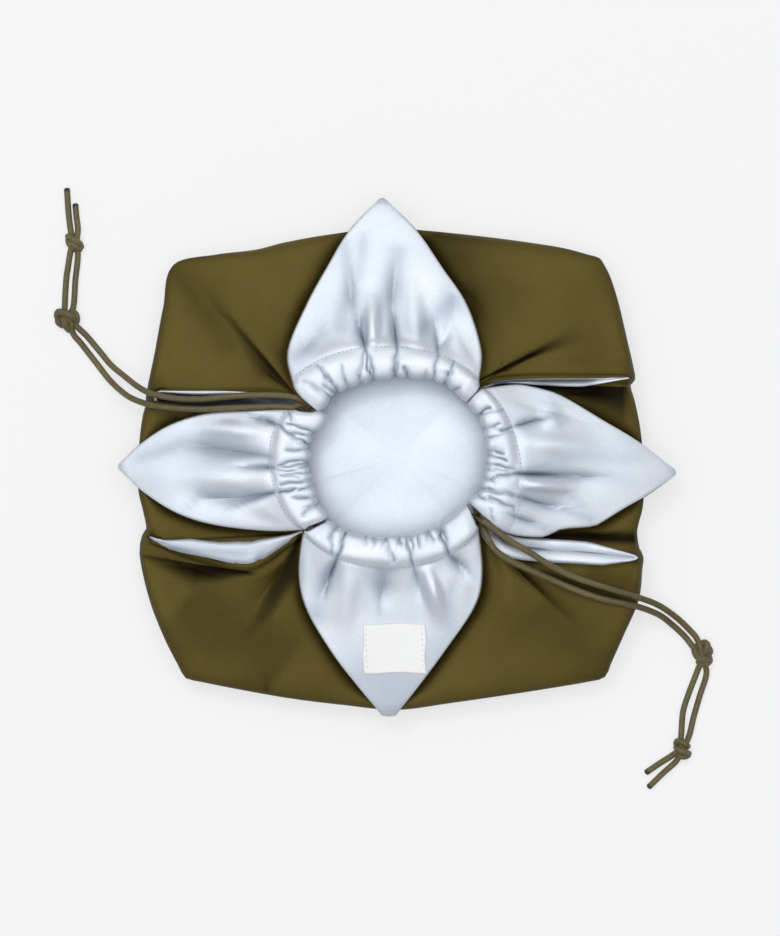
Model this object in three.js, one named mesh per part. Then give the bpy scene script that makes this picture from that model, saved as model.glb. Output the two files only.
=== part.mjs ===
// A drawstring pouch made of one lined square of cloth, lying on a table with its mouth up.
// The four corners of the square are folded outward as petals that show the lining. Each petal starts with
// a stitched casing, and two cords run round through all four casings. Between the petals the edges of the
// square are folded double and leave a slit, and the ends of one cord come out of each of two slits.
// Millimetres, +Z up, +X to the right and +Y away from the viewer. The origin is under the middle of the cloth.

import * as THREE from 'three';

// Cloth
const SHELL_WALL = 1.0;
const LINING_WALL = 1.0;
const WALL_GAP = 0.4;
const FLOOR_Z = SHELL_WALL + WALL_GAP / 2;
const FOLD_Z = 8;
const FLOOR_INSET = 12;
const RISE_INSET = 3.6;
const RISE_Z = 3.4;
const SHOULDER_INSET = 4.5;

// Roof of the pouch: a dome over a rounded square, from the mouth down to the outline
const ROOF_MOUTH_Z = 21;
const ROOF_RIM_Z = 12;
const ROOF_HALF_WIDTH = 103;
const ROOF_HALF_DEPTH = 100;
const ROOF_SQUARENESS = 4;
const ROOF_MOUTH_RATIO = 0.34;
const ROOF_FALL = 1.6;

// Casing of the petals, and the cord in it
const CASING_SWELL = 4.5;
const CASING_NOSE_SWELL = 2.8;
const CASING_MOUTH_SWELL = 1.0;
const CORD_DIAMETER = 2.5;
const CORD_SIDES = 8;
const CORD_STEP = 6;
const CORD_SKIN = 0.3;
const SEAT_STEP = 0.05;
const SEAT_REACH = 30;
const UP = new THREE.Vector3(0, 0, 1);

// Label on the lower petal
const LABEL_WIDTH = 25.2;
const LABEL_HEIGHT = 19.6;
const LABEL_CENTRE = { x: -1, y: -76.2 };
const LABEL_WALL = 1.0;
const LABEL_GAP = 0.35;

// Sampling. One turn round the pouch is 16 units, four to a panel: one of slit edge, two of mouth, one of slit edge.
const PANEL_UNITS = 4;
const TURN_UNITS = 16;
const TIP_UNITS = 0.1;
const EDGE_STEP = 0.03;
const PANEL_RAYS = [0, 0.1, 0.4, 0.7, 1, 1.25, 1.5, 1.75, 2, 2.25, 2.5, 2.75, 3, 3.3, 3.6, 3.9];
const FLOOR_SHARES = [0.45, 0.8];
const ROOF_STEPS = 4;
const PETAL_ROWS = [0.67, 1.33, 2, 3, 4, 5, 6, 7];
const PETAL_COLUMNS = 8;

// The outline fold from above, clockwise from the upper left slit
const OUTLINE = [
  { at: 0.0, x: -99.6, y: 24.6 },
  { at: 0.1, x: -98.9, y: 28.6 },
  { at: 0.4, x: -96.2, y: 41.0 },
  { at: 0.7, x: -92.6, y: 60.0 },
  { at: 1.0, x: -88.6, y: 76.6 },
  { at: 1.2, x: -72.0, y: 81.2 },
  { at: 1.6, x: -36.0, y: 87.4 },
  { at: 2.0, x: -5.6, y: 91.4 },
  { at: 2.4, x: 26.0, y: 88.2 },
  { at: 2.8, x: 64.0, y: 82.9 },
  { at: 3.0, x: 81.4, y: 78.4 },
  { at: 3.3, x: 88.4, y: 58.5 },
  { at: 3.6, x: 91.8, y: 43.0 },
  { at: 3.9, x: 94.0, y: 35.0 },
  { at: 4.0, x: 94.8, y: 31.2 },
  { at: 4.1, x: 93.4, y: 28.0 },
  { at: 4.5, x: 93.6, y: 20.5 },
  { at: 5.0, x: 96.4, y: 11.0 },
  { at: 6.0, x: 97.8, y: -4.5 },
  { at: 7.0, x: 97.4, y: -19.5 },
  { at: 7.5, x: 95.2, y: -29.0 },
  { at: 7.9, x: 96.2, y: -36.4 },
  { at: 8.0, x: 97.8, y: -40.0 },
  { at: 8.1, x: 97.4, y: -44.2 },
  { at: 8.3, x: 95.8, y: -57.0 },
  { at: 8.5, x: 90.2, y: -70.0 },
  { at: 8.7, x: 81.6, y: -87.2 },
  { at: 8.85, x: 66.0, y: -90.8 },
  { at: 9.1, x: 44.0, y: -94.0 },
  { at: 9.5, x: 22.0, y: -97.2 },
  { at: 10.0, x: 0.0, y: -100.0 },
  { at: 10.5, x: -22.0, y: -98.0 },
  { at: 10.9, x: -44.0, y: -95.2 },
  { at: 11.15, x: -66.0, y: -91.3 },
  { at: 11.3, x: -84.2, y: -87.4 },
  { at: 11.5, x: -92.4, y: -71.6 },
  { at: 11.7, x: -98.4, y: -56.0 },
  { at: 11.9, x: -102.2, y: -38.6 },
  { at: 12.0, x: -101.3, y: -31.6 },
  { at: 12.1, x: -100.2, y: -28.0 },
  { at: 12.5, x: -100.6, y: -21.5 },
  { at: 13.0, x: -102.4, y: -14.0 },
  { at: 14.0, x: -102.8, y: -3.0 },
  { at: 15.0, x: -101.8, y: 9.5 },
  { at: 15.5, x: -100.8, y: 16.5 },
  { at: 15.9, x: -99.8, y: 21.0 },
];

// Where each slit ends at the outline, clockwise from the upper left
const SLIT_TIPS = [
  { x: -97.2, y: 24.4 },
  { x: 92.4, y: 30.6 },
  { x: 95.3, y: -39.6 },
  { x: -99.0, y: -31.8 },
];

// The two slit edges of each panel: the outer end, the bend and the turned-up lip
const SLIT_EDGES = [
  {
    start: { x: -94.5, y: 26.9, bendX: -60, bendY: 27.8, lean: 1.2, lip: 4.5 },
    end: { x: 90.4, y: 32.8, bendX: 60, bendY: 33.2, lean: 1.2, lip: 4.5 },
  },
  {
    start: { x: 89.6, y: 28.0, bendX: 62, bendY: 28.4, lean: 1.6, lip: 4 },
    end: { x: 92.6, y: -36.8, bendX: 45, bendY: -39.5, lean: 2, lip: 5.4 },
  },
  {
    start: { x: 93.2, y: -42.4, bendX: 41, bendY: -51.5, lean: 2.2, lip: 5.4 },
    end: { x: -97.0, y: -34.6, bendX: -52, bendY: -54.8, lean: 1.8, lip: 5 },
  },
  {
    start: { x: -96.6, y: -29.2, bendX: -66.5, bendY: -41, lean: 1, lip: 4 },
    end: { x: -95.0, y: 21.9, bendX: -66, bendY: 22.4, lean: 1.6, lip: 3.6 },
  },
];

// Each petal from the nose of its casing to its tip. Edges run clockwise, bow is how far a row bulges along the axis.
const PETALS = [
  {
    axis: { x: 0, y: 1 },
    rows: [
      { at: 0, startX: -32.6, startY: 18.8, endX: 28.0, endY: 23.8, bow: 9.5 },
      { at: 1, startX: -40.0, startY: 25.6, endX: 32.4, endY: 28.8, bow: 9.5 },
      { at: 2, startX: -43.2, startY: 33.6, endX: 34.0, endY: 35.0, bow: 9.7 },
      { at: 3, startX: -43.6, startY: 43.0, endX: 33.6, endY: 43.0, bow: 7 },
      { at: 4, startX: -36.2, startY: 61.0, endX: 28.0, endY: 61.0, bow: 4 },
      { at: 5, startX: -28.0, startY: 76.0, endX: 18.0, endY: 76.0, bow: 2 },
      { at: 6, startX: -19.4, startY: 90.2, endX: 8.2, endY: 90.2, bow: 1 },
      { at: 7, startX: -7.2, startY: 103.4, endX: -4.6, endY: 103.4, bow: 0.4 },
    ],
  },
  {
    axis: { x: 1, y: 0 },
    rows: [
      { at: 0, startX: 31.0, startY: 19.8, endX: 32.0, endY: -16.4, bow: 5.5 },
      { at: 1, startX: 36.6, startY: 22.8, endX: 36.4, endY: -24.4, bow: 7 },
      { at: 2, startX: 40.4, startY: 27.4, endX: 44.0, endY: -30.6, bow: 7.4 },
      { at: 3, startX: 48.0, startY: 29.0, endX: 56.0, endY: -31.8, bow: 7.5 },
      { at: 4, startX: 64.4, startY: 25.3, endX: 72.7, endY: -28.2, bow: 5 },
      { at: 5, startX: 81.0, startY: 15.7, endX: 87.4, endY: -22.2, bow: 3 },
      { at: 6, startX: 96.0, startY: 6.6, endX: 100.0, endY: -15.4, bow: 1.5 },
      { at: 7, startX: 111.2, startY: -4.8, endX: 111.2, endY: -7.2, bow: 0.4 },
    ],
  },
  {
    axis: { x: 0, y: -1 },
    rows: [
      { at: 0, startX: 28.2, startY: -19.6, endX: -28.2, endY: -26.0, bow: 8.2 },
      { at: 1, startX: 31.6, startY: -26.4, endX: -35.6, endY: -29.6, bow: 10 },
      { at: 2, startX: 33.0, startY: -31.6, endX: -38.6, endY: -33.6, bow: 12 },
      { at: 3, startX: 34.0, startY: -46.6, endX: -39.2, endY: -46.0, bow: 8 },
      { at: 4, startX: 31.0, startY: -59.5, endX: -36.2, endY: -60.5, bow: 5 },
      { at: 5, startX: 20.0, startY: -76.0, endX: -26.4, endY: -77.4, bow: 2.5 },
      { at: 6, startX: 9.0, startY: -90.4, endX: -15.4, endY: -90.8, bow: 1 },
      { at: 7, startX: -2.0, startY: -103.4, endX: -4.6, endY: -103.4, bow: 0.4 },
    ],
  },
  {
    axis: { x: -1, y: 0 },
    rows: [
      { at: 0, startX: -31.5, startY: -22.0, endX: -35.0, endY: 14.6, bow: 3.6 },
      { at: 1, startX: -36.0, startY: -27.0, endX: -43.0, endY: 17.0, bow: 4.2 },
      { at: 2, startX: -40.4, startY: -28.8, endX: -53.0, endY: 18.6, bow: 4 },
      { at: 3, startX: -53.0, startY: -29.2, endX: -63.0, endY: 18.6, bow: 5 },
      { at: 4, startX: -73.0, startY: -26.9, endX: -77.0, endY: 17.4, bow: 4 },
      { at: 5, startX: -88.0, startY: -22.2, endX: -91.0, endY: 12.9, bow: 2.5 },
      { at: 6, startX: -101.0, startY: -14.0, endX: -102.0, endY: 5.8, bow: 1 },
      { at: 7, startX: -111.2, startY: -4.8, endX: -111.2, endY: -2.4, bow: 0.4 },
    ],
  },
];

// How high a petal rides over the roof, in its middle and at its edges
const PETAL_LIFT = [
  { at: 0, middle: 6.0, edge: 6.0 },
  { at: 1, middle: 11.5, edge: 10.0 },
  { at: 2, middle: 10.0, edge: 8.5 },
  { at: 3, middle: 9.0, edge: 7.0 },
  { at: 4, middle: 8.0, edge: 6.0 },
  { at: 5, middle: 7.0, edge: 5.5 },
  { at: 6, middle: 6.0, edge: 5.0 },
  { at: 7, middle: 5.0, edge: 4.8 },
];

// Cross-section of the roof's inner end, as a slit lip and as the nose of the mouth
const INNER_END = [
  { lipOut: 5.0, lipRise: 0.0, noseOut: 7.0, noseRise: 0.0 },
  { lipOut: 1.4, lipRise: 0.8, noseOut: 2.4, noseRise: 0.9 },
  { lipOut: 0.0, lipRise: 2.6, noseOut: 0.4, noseRise: 3.0 },
];
const NOSE_RISE = 6;
const TIGHT_ROOM = 14;

// Long soft folds of the roof: where, how high, and how wide in ray units
const ROOF_FOLDS = [
  { at: 0.95, rise: 2.2, width: 0.3 },
  { at: 3.2, rise: 1.6, width: 0.3 },
  { at: 8.7, rise: 2.0, width: 0.3 },
  { at: 11.3, rise: 1.8, width: 0.3 },
];

// Free ends of the cords. Each strand runs from its casing to the first knot, on to the second, and ends as a tail.
const CORDS = [
  {
    name: 'cord_left',
    casingRow: 0,
    firstPanel: 0,
    knots: [
      { x: -132.4, y: 56.2, along: 5.4, across: 4.6, high: 3.6, turn: 125 },
      { x: -129.7, y: 86.8, along: 4.4, across: 3.8, high: 3.2, turn: 92 },
    ],
    strands: [
      {
        name: 'upper',
        free: [
          { x: -40.2, y: 23.8, z: 29.2 },
          { x: -44.6, y: 24.6, z: 28.4 },
          { x: -50.4, y: 24.9, z: 27.4 },
          { x: -59.2, y: 24.8, z: 26.6 },
          { x: -68.8, y: 24.1, z: 25.4 },
          { x: -78.6, y: 23.3, z: 24.0 },
          { x: -88.2, y: 23.6, z: 22.4 },
          { x: -98.0, y: 25.5, z: 19.6 },
          { x: -103.6, y: 28.3, z: 15.4 },
          { x: -109.2, y: 32.6, z: 9.8 },
          { x: -114.8, y: 37.2, z: 4.6 },
          { x: -119.2, y: 42.4, z: 2.4 },
          { x: -124.6, y: 48.8, z: 2.0 },
          { x: -127.8, y: 51.9, z: 2.2 },
        ],
        between: [
          { x: -133.4, y: 62.4, z: 1.7 },
          { x: -132.9, y: 71.6, z: 1.4 },
          { x: -132.2, y: 76.6, z: 1.4 },
          { x: -131.4, y: 81.7, z: 1.7 },
        ],
        tail: [
          { x: -131.2, y: 91.8, z: 1.6 },
          { x: -132.0, y: 98.5, z: 1.4 },
          { x: -132.6, y: 107.6, z: 1.4 },
        ],
      },
      {
        name: 'lower',
        free: [
          { x: -41.6, y: 19.8, z: 28.8 },
          { x: -45.8, y: 20.3, z: 28.0 },
          { x: -50.4, y: 20.3, z: 27.0 },
          { x: -59.2, y: 20.1, z: 25.9 },
          { x: -68.8, y: 19.7, z: 24.8 },
          { x: -78.6, y: 19.3, z: 23.2 },
          { x: -88.2, y: 19.7, z: 21.6 },
          { x: -98.0, y: 20.9, z: 18.4 },
          { x: -106.0, y: 23.6, z: 13.0 },
          { x: -111.0, y: 27.0, z: 8.2 },
          { x: -115.6, y: 31.4, z: 4.2 },
          { x: -120.8, y: 38.0, z: 1.9 },
          { x: -127.2, y: 46.2, z: 1.7 },
          { x: -130.2, y: 50.0, z: 2.0 },
        ],
        between: [
          { x: -129.8, y: 62.0, z: 1.7 },
          { x: -129.2, y: 71.6, z: 1.4 },
          { x: -128.6, y: 76.6, z: 1.4 },
          { x: -128.2, y: 81.7, z: 1.7 },
        ],
        tail: [
          { x: -128.2, y: 91.8, z: 1.6 },
          { x: -128.8, y: 96.8, z: 1.4 },
          { x: -129.2, y: 101.4, z: 1.4 },
        ],
      },
    ],
  },
  {
    name: 'cord_right',
    casingRow: 1,
    firstPanel: 2,
    knots: [
      { x: 122.7, y: -79.6, along: 5.4, across: 4.6, high: 3.6, turn: 112 },
      { x: 114.5, y: -116.8, along: 4.4, across: 3.8, high: 3.2, turn: 66 },
    ],
    strands: [
      {
        name: 'upper',
        free: [
          { x: 40.0, y: -29.6, z: 30.8 },
          { x: 45.6, y: -33.6, z: 29.4 },
          { x: 53.8, y: -38.4, z: 27.6 },
          { x: 60.9, y: -42.9, z: 26.2 },
          { x: 68.6, y: -46.8, z: 24.4 },
          { x: 76.2, y: -49.6, z: 22.2 },
          { x: 86.4, y: -52.8, z: 19.0 },
          { x: 96.6, y: -56.0, z: 14.8 },
          { x: 104.8, y: -59.2, z: 9.0 },
          { x: 112.2, y: -64.2, z: 3.8 },
          { x: 117.9, y: -69.6, z: 2.1 },
          { x: 120.6, y: -73.0, z: 2.2 },
        ],
        between: [
          { x: 120.6, y: -86.0, z: 1.7 },
          { x: 117.4, y: -94.4, z: 1.4 },
          { x: 115.0, y: -102.0, z: 1.4 },
          { x: 114.2, y: -111.4, z: 1.7 },
        ],
        tail: [
          { x: 110.4, y: -119.8, z: 1.6 },
          { x: 106.0, y: -122.6, z: 1.4 },
          { x: 100.4, y: -126.4, z: 1.4 },
        ],
      },
      {
        name: 'lower',
        free: [
          { x: 35.6, y: -30.8, z: 30.0 },
          { x: 38.4, y: -36.0, z: 29.6 },
          { x: 43.0, y: -39.9, z: 28.6 },
          { x: 51.0, y: -44.0, z: 26.2 },
          { x: 60.9, y: -48.4, z: 23.6 },
          { x: 71.1, y: -52.7, z: 21.2 },
          { x: 81.3, y: -56.3, z: 19.0 },
          { x: 90.6, y: -58.4, z: 16.6 },
          { x: 98.3, y: -60.3, z: 12.4 },
          { x: 105.6, y: -63.4, z: 7.2 },
          { x: 110.6, y: -67.2, z: 3.6 },
          { x: 115.2, y: -71.4, z: 2.0 },
          { x: 117.8, y: -74.6, z: 2.1 },
        ],
        between: [
          { x: 124.4, y: -86.2, z: 1.7 },
          { x: 121.6, y: -96.0, z: 1.4 },
          { x: 119.2, y: -104.4, z: 1.4 },
          { x: 117.4, y: -111.8, z: 1.7 },
        ],
        tail: [
          { x: 112.2, y: -122.0, z: 1.6 },
          { x: 107.4, y: -126.4, z: 1.4 },
          { x: 101.4, y: -132.2, z: 1.4 },
        ],
      },
    ],
  },
];

// Finishes
const OLIVE = new THREE.MeshStandardMaterial({ name: 'olive taffeta', color: 0x62542f, roughness: 0.8 });
const ICE_BLUE = new THREE.MeshStandardMaterial({ name: 'ice blue satin', color: 0xccd6e6, roughness: 0.45 });
const CORD_OLIVE = new THREE.MeshStandardMaterial({ name: 'olive waxed cord', color: 0x6b6040, roughness: 0.6 });
const WHITE = new THREE.MeshStandardMaterial({ name: 'white woven label', color: 0xf2f0ea, roughness: 0.85 });

function mix(from, to, share) {
  return from + (to - from) * share;
}

function mixPoint(from, to, share) {
  return { x: mix(from.x, to.x, share), y: mix(from.y, to.y, share) };
}

// Smooth curve through one column of a table, by its "at" column. With a period the table runs round and round.
function along(rows, column, at, period = 0) {
  const count = rows.length;
  const wrapped = (index) => {
    if (period === 0) {
      return rows[Math.min(Math.max(index, 0), count - 1)];
    }
    const row = rows[((index % count) + count) % count];
    return { at: row.at + Math.floor(index / count) * period, value: row[column] };
  };
  const key = (index) => wrapped(index).at;
  const value = (index) => (period === 0 ? wrapped(index)[column] : wrapped(index).value);
  const place = period === 0 ? at : ((at % period) + period) % period;
  let index = 0;
  const last = period === 0 ? count - 2 : count - 1;
  while (index < last && key(index + 1) <= place) {
    index += 1;
  }
  const span = key(index + 1) - key(index);
  const slope = (i) => {
    const width = key(i + 1) - key(i - 1);
    return width === 0 ? 0 : (value(i + 1) - value(i - 1)) / width;
  };
  const s = (place - key(index)) / span;
  const s2 = s * s;
  const s3 = s2 * s;
  const ends = value(index) * (2 * s3 - 3 * s2 + 1) + value(index + 1) * (3 * s2 - 2 * s3);
  return ends + span * (slope(index) * (s3 - 2 * s2 + s) + slope(index + 1) * (s3 - s2));
}

function roofZ(x, y) {
  const across = Math.abs(x / ROOF_HALF_WIDTH) ** ROOF_SQUARENESS;
  const deep = Math.abs(y / ROOF_HALF_DEPTH) ** ROOF_SQUARENESS;
  const ratio = (across + deep) ** (1 / ROOF_SQUARENESS);
  const out = Math.max(0, (ratio - ROOF_MOUTH_RATIO) / (1 - ROOF_MOUTH_RATIO));
  return ROOF_MOUTH_Z - (ROOF_MOUTH_Z - ROOF_RIM_Z) * out ** ROOF_FALL;
}

// Place on a petal from above: row 0 is the nose, row 7 the tip, column 0 to 1 runs clockwise
function petalPlan(panel, row, column) {
  const { axis, rows } = PETALS[panel];
  const start = { x: along(rows, 'startX', row), y: along(rows, 'startY', row) };
  const end = { x: along(rows, 'endX', row), y: along(rows, 'endY', row) };
  const bulge = along(rows, 'bow', row) * 4 * column * (1 - column);
  const point = mixPoint(start, end, column);
  return { x: point.x + axis.x * bulge, y: point.y + axis.y * bulge };
}

function petalPoint(panel, row, column) {
  const { x, y } = petalPlan(panel, row, column);
  const side = (2 * column - 1) ** 2;
  const lift = mix(along(PETAL_LIFT, 'middle', row), along(PETAL_LIFT, 'edge', row), side);
  return new THREE.Vector3(x, y, roofZ(x, y) + lift);
}

// Where the roof ends above the hollow, round the four noses, the eight slit edges and the four slit tips
function innerEdge(anyTurn) {
  const turn = (anyTurn + TURN_UNITS) % TURN_UNITS;
  const panel = Math.floor(turn / PANEL_UNITS);
  const unit = turn - panel * PANEL_UNITS;
  if (unit >= 1 && unit <= PANEL_UNITS - 1) {
    return petalPlan(panel, 0, (unit - 1) / 2);
  }
  const outward = unit < 1 ? 1 - unit : unit - (PANEL_UNITS - 1);
  if (outward <= 1 - TIP_UNITS) {
    const edge = unit < 1 ? SLIT_EDGES[panel].start : SLIT_EDGES[panel].end;
    const share = outward / (1 - TIP_UNITS);
    const corner = petalPlan(panel, 0, unit < 1 ? 0 : 1);
    const bend = { x: edge.bendX, y: edge.bendY };
    return mixPoint(mixPoint(corner, bend, share), mixPoint(bend, edge, share), share);
  }
  const slit = Math.round(turn / PANEL_UNITS) % PETALS.length;
  const before = SLIT_EDGES[(slit + PETALS.length - 1) % PETALS.length].end;
  const after = SLIT_EDGES[slit].start;
  const middle = mixPoint(before, after, 0.5);
  const angle = (Math.PI / 2) * (1 - (unit < 1 ? unit : unit - PANEL_UNITS) / TIP_UNITS);
  return {
    x: middle.x + ((after.x - before.x) / 2) * Math.cos(angle) + (SLIT_TIPS[slit].x - middle.x) * Math.sin(angle),
    y: middle.y + ((after.y - before.y) / 2) * Math.cos(angle) + (SLIT_TIPS[slit].y - middle.y) * Math.sin(angle),
  };
}

// Level direction from the inner edge into the cloth, square to the edge
function intoCloth(turn) {
  const here = innerEdge(turn);
  const before = innerEdge(turn - EDGE_STEP);
  const after = innerEdge(turn + EDGE_STEP);
  const one = new THREE.Vector2(here.x - before.x, here.y - before.y).normalize();
  const other = new THREE.Vector2(after.x - here.x, after.y - here.y).normalize();
  const run = one.add(other).normalize();
  return { x: -run.y, y: run.x };
}

// One section of the pouch's body, from the middle of the floor out to the fold and back over the roof
function bodySection(turn) {
  const panel = Math.floor(turn / PANEL_UNITS);
  const unit = turn - panel * PANEL_UNITS;
  const fold = { x: along(OUTLINE, 'x', turn, TURN_UNITS), y: along(OUTLINE, 'y', turn, TURN_UNITS) };
  const edge = innerEdge(turn);
  const radius = Math.hypot(fold.x, fold.y);
  const room = Math.hypot(fold.x - edge.x, fold.y - edge.y);
  const out = { x: (fold.x - edge.x) / room, y: (fold.y - edge.y) / room };
  const looseness = Math.min(1, room / TIGHT_ROOM);
  const atMouth = unit >= 1 && unit <= 3;
  const into = atMouth ? out : intoCloth(turn);
  const lipSide = unit < 2 ? SLIT_EDGES[panel].start : SLIT_EDGES[panel].end;

  const points = [];
  const floorEdge = 1 - FLOOR_INSET / radius;
  for (const share of [...FLOOR_SHARES, 1]) {
    points.push(new THREE.Vector3(fold.x * floorEdge * share, fold.y * floorEdge * share, FLOOR_Z));
  }
  const riseShare = 1 - RISE_INSET / radius;
  points.push(new THREE.Vector3(fold.x * riseShare, fold.y * riseShare, RISE_Z));
  points.push(new THREE.Vector3(fold.x, fold.y, FOLD_Z));

  const ends = INNER_END.map((row) => ({
    out: (atMouth ? row.noseOut : row.lipOut) * looseness * Math.min(1, looseness + 0.2),
    rise: atMouth ? row.noseRise : row.lipRise,
  }));
  const baseOut = Math.min(ends[0].out, room * 0.4);
  const base = { x: edge.x + into.x * baseOut, y: edge.y + into.y * baseOut };
  const baseZ = roofZ(base.x, base.y);
  const shoulderInset = Math.min(SHOULDER_INSET, room * 0.3);
  const shoulder = { x: fold.x - out.x * shoulderInset, y: fold.y - out.y * shoulderInset };
  const shoulderZ = mix(mix(FOLD_Z, baseZ, 0.5), roofZ(shoulder.x, shoulder.y), looseness);
  for (let step = 0; step <= ROOF_STEPS; step += 1) {
    const share = step / ROOF_STEPS;
    const { x, y } = mixPoint(shoulder, base, share);
    let z = mix(mix(shoulderZ, baseZ, share), roofZ(x, y), looseness);
    for (const row of ROOF_FOLDS) {
      z += row.rise * Math.exp(-(((turn - row.at) / row.width) ** 2)) * Math.sin(Math.PI * share) ** 2;
    }
    points.push(new THREE.Vector3(x, y, z));
  }
  for (const end of ends.slice(1)) {
    const endOut = Math.min(end.out, room * 0.25);
    points.push(new THREE.Vector3(edge.x + into.x * endOut, edge.y + into.y * endOut, baseZ + end.rise));
  }
  const lipOut = atMouth ? 0 : Math.min(lipSide.lean * looseness, room * 0.2);
  const lipRise = atMouth ? NOSE_RISE : lipSide.lip;
  points.push(new THREE.Vector3(edge.x + into.x * lipOut, edge.y + into.y * lipOut, baseZ + lipRise));
  return points;
}

// How far the lining stands off the shell to make room for the cords, by petal row and column
function casingSwell(row, column) {
  if (row >= 2) {
    return 0;
  }
  const atEnd = column === 0 || column === PETAL_COLUMNS;
  return (row === 0 ? CASING_NOSE_SWELL : CASING_SWELL) + (atEnd ? CASING_MOUTH_SWELL : 0);
}

// The cloth's middle surface as one grid: rays round the body, and the petals continued from their noses
function clothSurface() {
  const surface = { points: [], swell: [], faces: [], petalRows: PETALS.map(() => []) };
  const add = (point, swell) => {
    surface.swell.push(swell);
    return surface.points.push(point) - 1;
  };
  const middle = add(new THREE.Vector3(0, 0, FLOOR_Z), 0);
  const rays = [];
  for (let panel = 0; panel < PETALS.length; panel += 1) {
    for (const unit of PANEL_RAYS) {
      const section = bodySection(panel * PANEL_UNITS + unit);
      const atMouth = unit >= 1 && unit <= 3;
      const ids = section.map((point, index) => {
        const fromEnd = section.length - 1 - index;
        const column = ((unit - 1) / 2) * PETAL_COLUMNS;
        const swell = atMouth && fromEnd < 2 ? casingSwell(0, column) * (fromEnd === 0 ? 1 : 0.4) : 0;
        return add(point, swell);
      });
      rays.push(ids);
    }
  }
  for (let ray = 0; ray < rays.length; ray += 1) {
    const here = rays[ray];
    const next = rays[(ray + 1) % rays.length];
    surface.faces.push([middle, here[0], next[0]]);
    for (let step = 0; step + 1 < here.length; step += 1) {
      surface.faces.push([here[step], here[step + 1], next[step + 1], next[step]]);
    }
  }
  const firstMouthRay = PANEL_RAYS.indexOf(1);
  for (let panel = 0; panel < PETALS.length; panel += 1) {
    const firstRay = panel * PANEL_RAYS.length + firstMouthRay;
    let below = [];
    for (let column = 0; column <= PETAL_COLUMNS; column += 1) {
      below.push(rays[firstRay + column].at(-1));
    }
    for (const row of PETAL_ROWS) {
      const above = below.map((id, column) => {
        return add(petalPoint(panel, row, column / PETAL_COLUMNS), casingSwell(row, column));
      });
      surface.petalRows[panel].push(above);
      for (let column = 0; column < PETAL_COLUMNS; column += 1) {
        surface.faces.push([below[column], above[column], above[column + 1], below[column + 1]]);
      }
      below = above;
    }
  }
  surface.triangles = surface.faces.flatMap((face) => splitFace(surface.points, face));
  surface.normals = vertexNormals(surface);
  return surface;
}

// A four-sided face is split along its shorter diagonal
function splitFace(points, face) {
  if (face.length === 3) {
    return [face];
  }
  const [a, b, c, d] = face;
  if (points[a].distanceTo(points[c]) <= points[b].distanceTo(points[d])) {
    return [[a, b, c], [a, c, d]];
  }
  return [[a, b, d], [b, c, d]];
}

function vertexNormals(surface) {
  const normals = surface.points.map(() => new THREE.Vector3());
  for (const face of surface.faces) {
    const corners = face.map((id) => surface.points[id]);
    const one = new THREE.Vector3().subVectors(corners.at(-2), corners[0]);
    const other = face.length === 3
      ? new THREE.Vector3().subVectors(corners[2], corners[0])
      : new THREE.Vector3().subVectors(corners[3], corners[1]);
    const normal = one.cross(other).normalize();
    face.forEach((id) => normals[id].add(normal));
  }
  normals.forEach((normal) => normal.normalize());
  return normals;
}

function closedGeometry(points, triangles) {
  const geometry = new THREE.BufferGeometry();
  geometry.setAttribute('position', new THREE.Float32BufferAttribute(points.flatMap((p) => [p.x, p.y, p.z]), 3));
  geometry.setIndex(triangles.flat());
  geometry.computeVertexNormals();
  return geometry;
}

// A closed wall between two offsets from a surface. Positive offsets are on the shell's side.
function wallGeometry(surface, innerOffset, outerOffset, swellShare) {
  const count = surface.points.length;
  const shifted = (offset) => surface.points.map((point, id) => {
    const distance = offset - surface.swell[id] * swellShare;
    return point.clone().addScaledVector(surface.normals[id], distance);
  });
  const points = [...shifted(outerOffset), ...shifted(innerOffset)];
  const edges = new Map();
  for (const [a, b, c] of surface.triangles) {
    for (const [from, to] of [[a, b], [b, c], [c, a]]) {
      const back = `${to},${from}`;
      if (edges.has(back)) {
        edges.delete(back);
      } else {
        edges.set(`${from},${to}`, [from, to]);
      }
    }
  }
  const triangles = [];
  for (const [a, b, c] of surface.triangles) {
    triangles.push([a, b, c], [a + count, c + count, b + count]);
  }
  for (const [from, to] of edges.values()) {
    triangles.push([from, from + count, to + count], [from, to + count, to]);
  }
  return closedGeometry(points, triangles);
}

function cordGeometry(points) {
  const path = new THREE.CatmullRomCurve3(points.map((p) => new THREE.Vector3(p.x, p.y, p.z)), false, 'centripetal');
  const round = new THREE.Shape();
  for (let side = 0; side < CORD_SIDES; side += 1) {
    const angle = (2 * Math.PI * (side + 0.5)) / CORD_SIDES;
    const x = (CORD_DIAMETER / 2) * Math.cos(angle);
    const y = (CORD_DIAMETER / 2) * Math.sin(angle);
    if (side === 0) {
      round.moveTo(x, y);
    } else {
      round.lineTo(x, y);
    }
  }
  round.closePath();
  const steps = Math.max(2, Math.round(path.getLength() / CORD_STEP));
  return new THREE.ExtrudeGeometry(round, { steps, extrudePath: path, bevelEnabled: false });
}

function knotCentre(knot) {
  return new THREE.Vector3(knot.x, knot.y, knot.high + CORD_SKIN);
}

function knotGeometry(knot) {
  const centre = knotCentre(knot);
  const geometry = new THREE.SphereGeometry(1, 16, 10);
  geometry.scale(knot.along, knot.across, knot.high);
  geometry.rotateZ(THREE.MathUtils.degToRad(knot.turn));
  geometry.translate(centre.x, centre.y, centre.z);
  return geometry;
}

function clearOfKnot(point, knot) {
  const local = point.clone().sub(knotCentre(knot)).applyAxisAngle(UP, THREE.MathUtils.degToRad(-knot.turn));
  const x = local.x / (knot.along + CORD_SKIN);
  const y = local.y / (knot.across + CORD_SKIN);
  const z = local.z / (knot.high + CORD_SKIN);
  return x * x + y * y + z * z > 1;
}

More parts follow.
